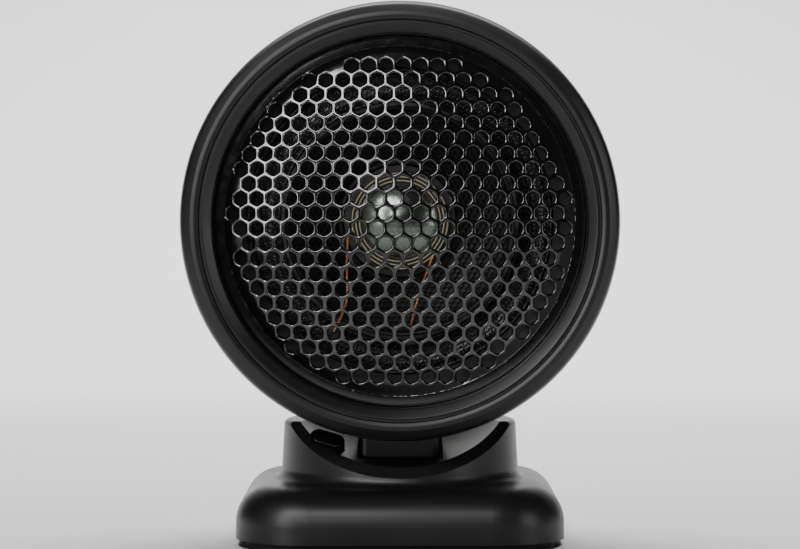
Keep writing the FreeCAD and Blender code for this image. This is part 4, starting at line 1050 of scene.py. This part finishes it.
def braid(name, points, radius=0.36 * MM, strand=0.15 * MM, lay=2.4 * MM):
    """Two sets of strands wound opposite ways round a path, by Geometry Nodes."""
    line = smooth_path(points)
    length = sum((b - a).length for a, b in zip(line, line[1:]))
    turns = length / lay
    path = bpy.data.meshes.new(name + "_path")
    verts, edges = [], []
    samples = int(turns * 10)
    for way in (1, -1):
        for start in range(3):
            first = len(verts)
            for i in range(samples + 1):
                t = i / samples
                spot, tangent = at_share(line, t)
                side = tangent.cross(Vector((0, 1, 0))).normalized()
                other = tangent.cross(side)
                a = way * 2 * math.pi * turns * t + 2 * math.pi * start / 3
                wave = 1.0 + 0.12 * way * math.cos(3 * a * way)
                out = side * math.cos(a) + other * math.sin(a)
                verts.append(spot + out * (radius - strand * 0.4) * wave)
                if i:
                    edges.append((first + i - 1, first + i))
    path.from_pydata(verts, edges, [])
    plan = Plan(name + "_plan", **{"Strand radius": strand})
    curve = plan.add("GeometryNodeMeshToCurve", {}, {0: plan.start})
    ring = plan.add("GeometryNodeCurvePrimitiveCircle", {}, {
        "Resolution": 6, "Radius": plan["Strand radius"]})
    solid = plan.add("GeometryNodeCurveToMesh", {}, {
        "Curve": curve, "Profile Curve": ring, "Fill Caps": True})
    mesh = plan.bake(name, path, solid, "copper")
    mesh.shade_smooth()
    return mesh


def at_share(line, t):
    """Point and direction at a share of a path's points."""
    place = t * (len(line) - 1)
    i = min(int(place), len(line) - 2)
    spot = line[i].lerp(line[i + 1], place - i)
    return spot, (line[i + 1] - line[i]).normalized()


class HEATER_OT_stage(bpy.types.Operator):
    """Build the floor, the lights and the camera"""

    bl_idname = "heater.stage"
    bl_label = "Stage"

    def execute(self, context):
        scene = context.scene
        floor = backdrop(scene.heater_colours.floor)
        world = bpy.data.worlds.new("studio")
        world.use_nodes = True
        world.node_tree.nodes["Background"].inputs[0].default_value = (0.75, 0.77, 0.8, 1)
        world.node_tree.nodes["Background"].inputs[1].default_value = 0.03
        scene.world = world
        centre = Vector((0, FRONT_Y, HEAD_Z))
        no_floor = light_group("no_floor", floor)
        no_base = light_group("no_base", frame["nodes"]["base_shell"])
        lamp("top_strip", centre + Vector((-0.42, -1.0, 0.84)), centre, 0.95, 0.26, 9.0, no_floor)
        lamp("left_strip", centre + Vector((-0.86, -1.0, 0.36)), centre, 0.26, 0.9, 8.0, no_floor)
        lamp("key", centre + Vector((-0.2, -1.0, 0.24)), centre, 0.2, 0.14, 1.2, no_floor)
        lamp("right_strip", centre + Vector((1.2, -0.6, 0.2)), centre, 0.2, 0.8, 3.0, no_floor)
        lamp("backdrop", Vector((0, 0.75, 1.0)), Vector((0, 1.3, 0.2)), 1.6, 0.3, 9.0, None, 100)
        lamp("floor", Vector((0, 0.5, 1.3)), Vector((0, 0.35, 0)), 1.6, 0.8, 16.0, no_base, 110)
        camera = bpy.data.cameras.new("camera")
        camera.lens = 117.0
        camera.sensor_width = 36.0
        camera.shift_y = -0.0669
        holder = bpy.data.objects.new("camera", camera)
        holder.location = (0, FRONT_Y - 0.9, HEAD_Z)
        holder.rotation_euler = (math.pi / 2, 0, 0)
        scene.collection.objects.link(holder)
        scene.camera = holder
        return {"FINISHED"}


def light_group(name, thing):
    """A light group that leaves one thing unlit."""
    group = bpy.data.collections.new(name)
    group.objects.link(thing)
    group.collection_objects[0].light_linking.link_state = "EXCLUDE"
    return group


def backdrop(colour):
    """A pale floor that curves up behind the heater."""
    bm = bmesh.new()
    depth, bend, height, half = 0.9, 0.5, 1.8, 3.0
    line = [(-1.2, 0.0), (depth, 0.0)]
    for i in range(1, 17):
        a = math.pi / 2 * i / 16
        line.append((depth + bend * math.sin(a), bend * (1 - math.cos(a))))
    line.append((depth + bend, height))
    rows = [[bm.verts.new((x, y, z)) for x in (-half, half)] for y, z in line]
    for first, second in zip(rows, rows[1:]):
        bm.faces.new((first[0], first[1], second[1], second[0]))
    mesh = mesh_of("floor", bm)
    finish = Finish("studio_floor", Specular_IOR_Level=0.2)
    cloud = finish.noise(3.0, 2.0)
    finish.colour(finish.nodes.mix(cloud, shade(colour, 0.97), shade(colour, 1.02)))
    finish.roughness(finish.nodes.spread(cloud, 0.3, 0.7, 0.7, 0.8))
    mesh.materials.append(finish.material)
    floor = bpy.data.objects.new("floor", mesh)
    bpy.context.scene.collection.objects.link(floor)
    return floor


def lamp(name, place, target, width, height, power, group=None, spread=180):
    """A rectangular softbox aimed at a point; a light group may limit what it lights."""
    light = bpy.data.lights.new(name, "AREA")
    light.shape = "RECTANGLE"
    light.size = width
    light.size_y = height
    light.energy = power
    light.spread = math.radians(spread)
    holder = bpy.data.objects.new(name, light)
    holder.location = place
    holder.rotation_euler = (target - place).to_track_quat("-Z", "Y").to_euler()
    if group:
        holder.light_linking.receiver_collection = group
    bpy.context.scene.collection.objects.link(holder)


OPERATORS = (
    HEATER_OT_stage,
    HEATER_OT_finish_nodes,
    HEATER_OT_front_ring,
    HEATER_OT_grille,
    HEATER_OT_element,
    HEATER_OT_gasket,
    HEATER_OT_centre,
    HEATER_OT_leads,
)


class HEATER_PT_panel(bpy.types.Panel):
    """Buttons for each group of pieces"""

    bl_idname = "HEATER_PT_panel"
    bl_label = "Ceramic Desk Heater"
    bl_space_type = "VIEW_3D"
    bl_region_type = "UI"
    bl_category = "Heater"

    def draw(self, context):
        for operator in OPERATORS:
            self.layout.operator(operator.bl_idname)
        for group in (context.scene.heater_sizes, context.scene.heater_colours):
            for name in group.__annotations__:
                self.layout.prop(group, name)


CLASSES = (HeaterSizes, HeaterColours, *OPERATORS, HEATER_PT_panel)


def register():
    for made in CLASSES:
        bpy.utils.register_class(made)
    bpy.types.Scene.heater_sizes = bpy.props.PointerProperty(type=HeaterSizes)
    bpy.types.Scene.heater_colours = bpy.props.PointerProperty(type=HeaterColours)


def unregister():
    del bpy.types.Scene.heater_colours
    del bpy.types.Scene.heater_sizes
    for made in reversed(CLASSES):
        bpy.utils.unregister_class(made)


def main():
    register()
    for operator in OPERATORS:
        group, name = operator.bl_idname.split(".")
        getattr(getattr(bpy.ops, group), name)()


if __name__ == "__main__":
    main()
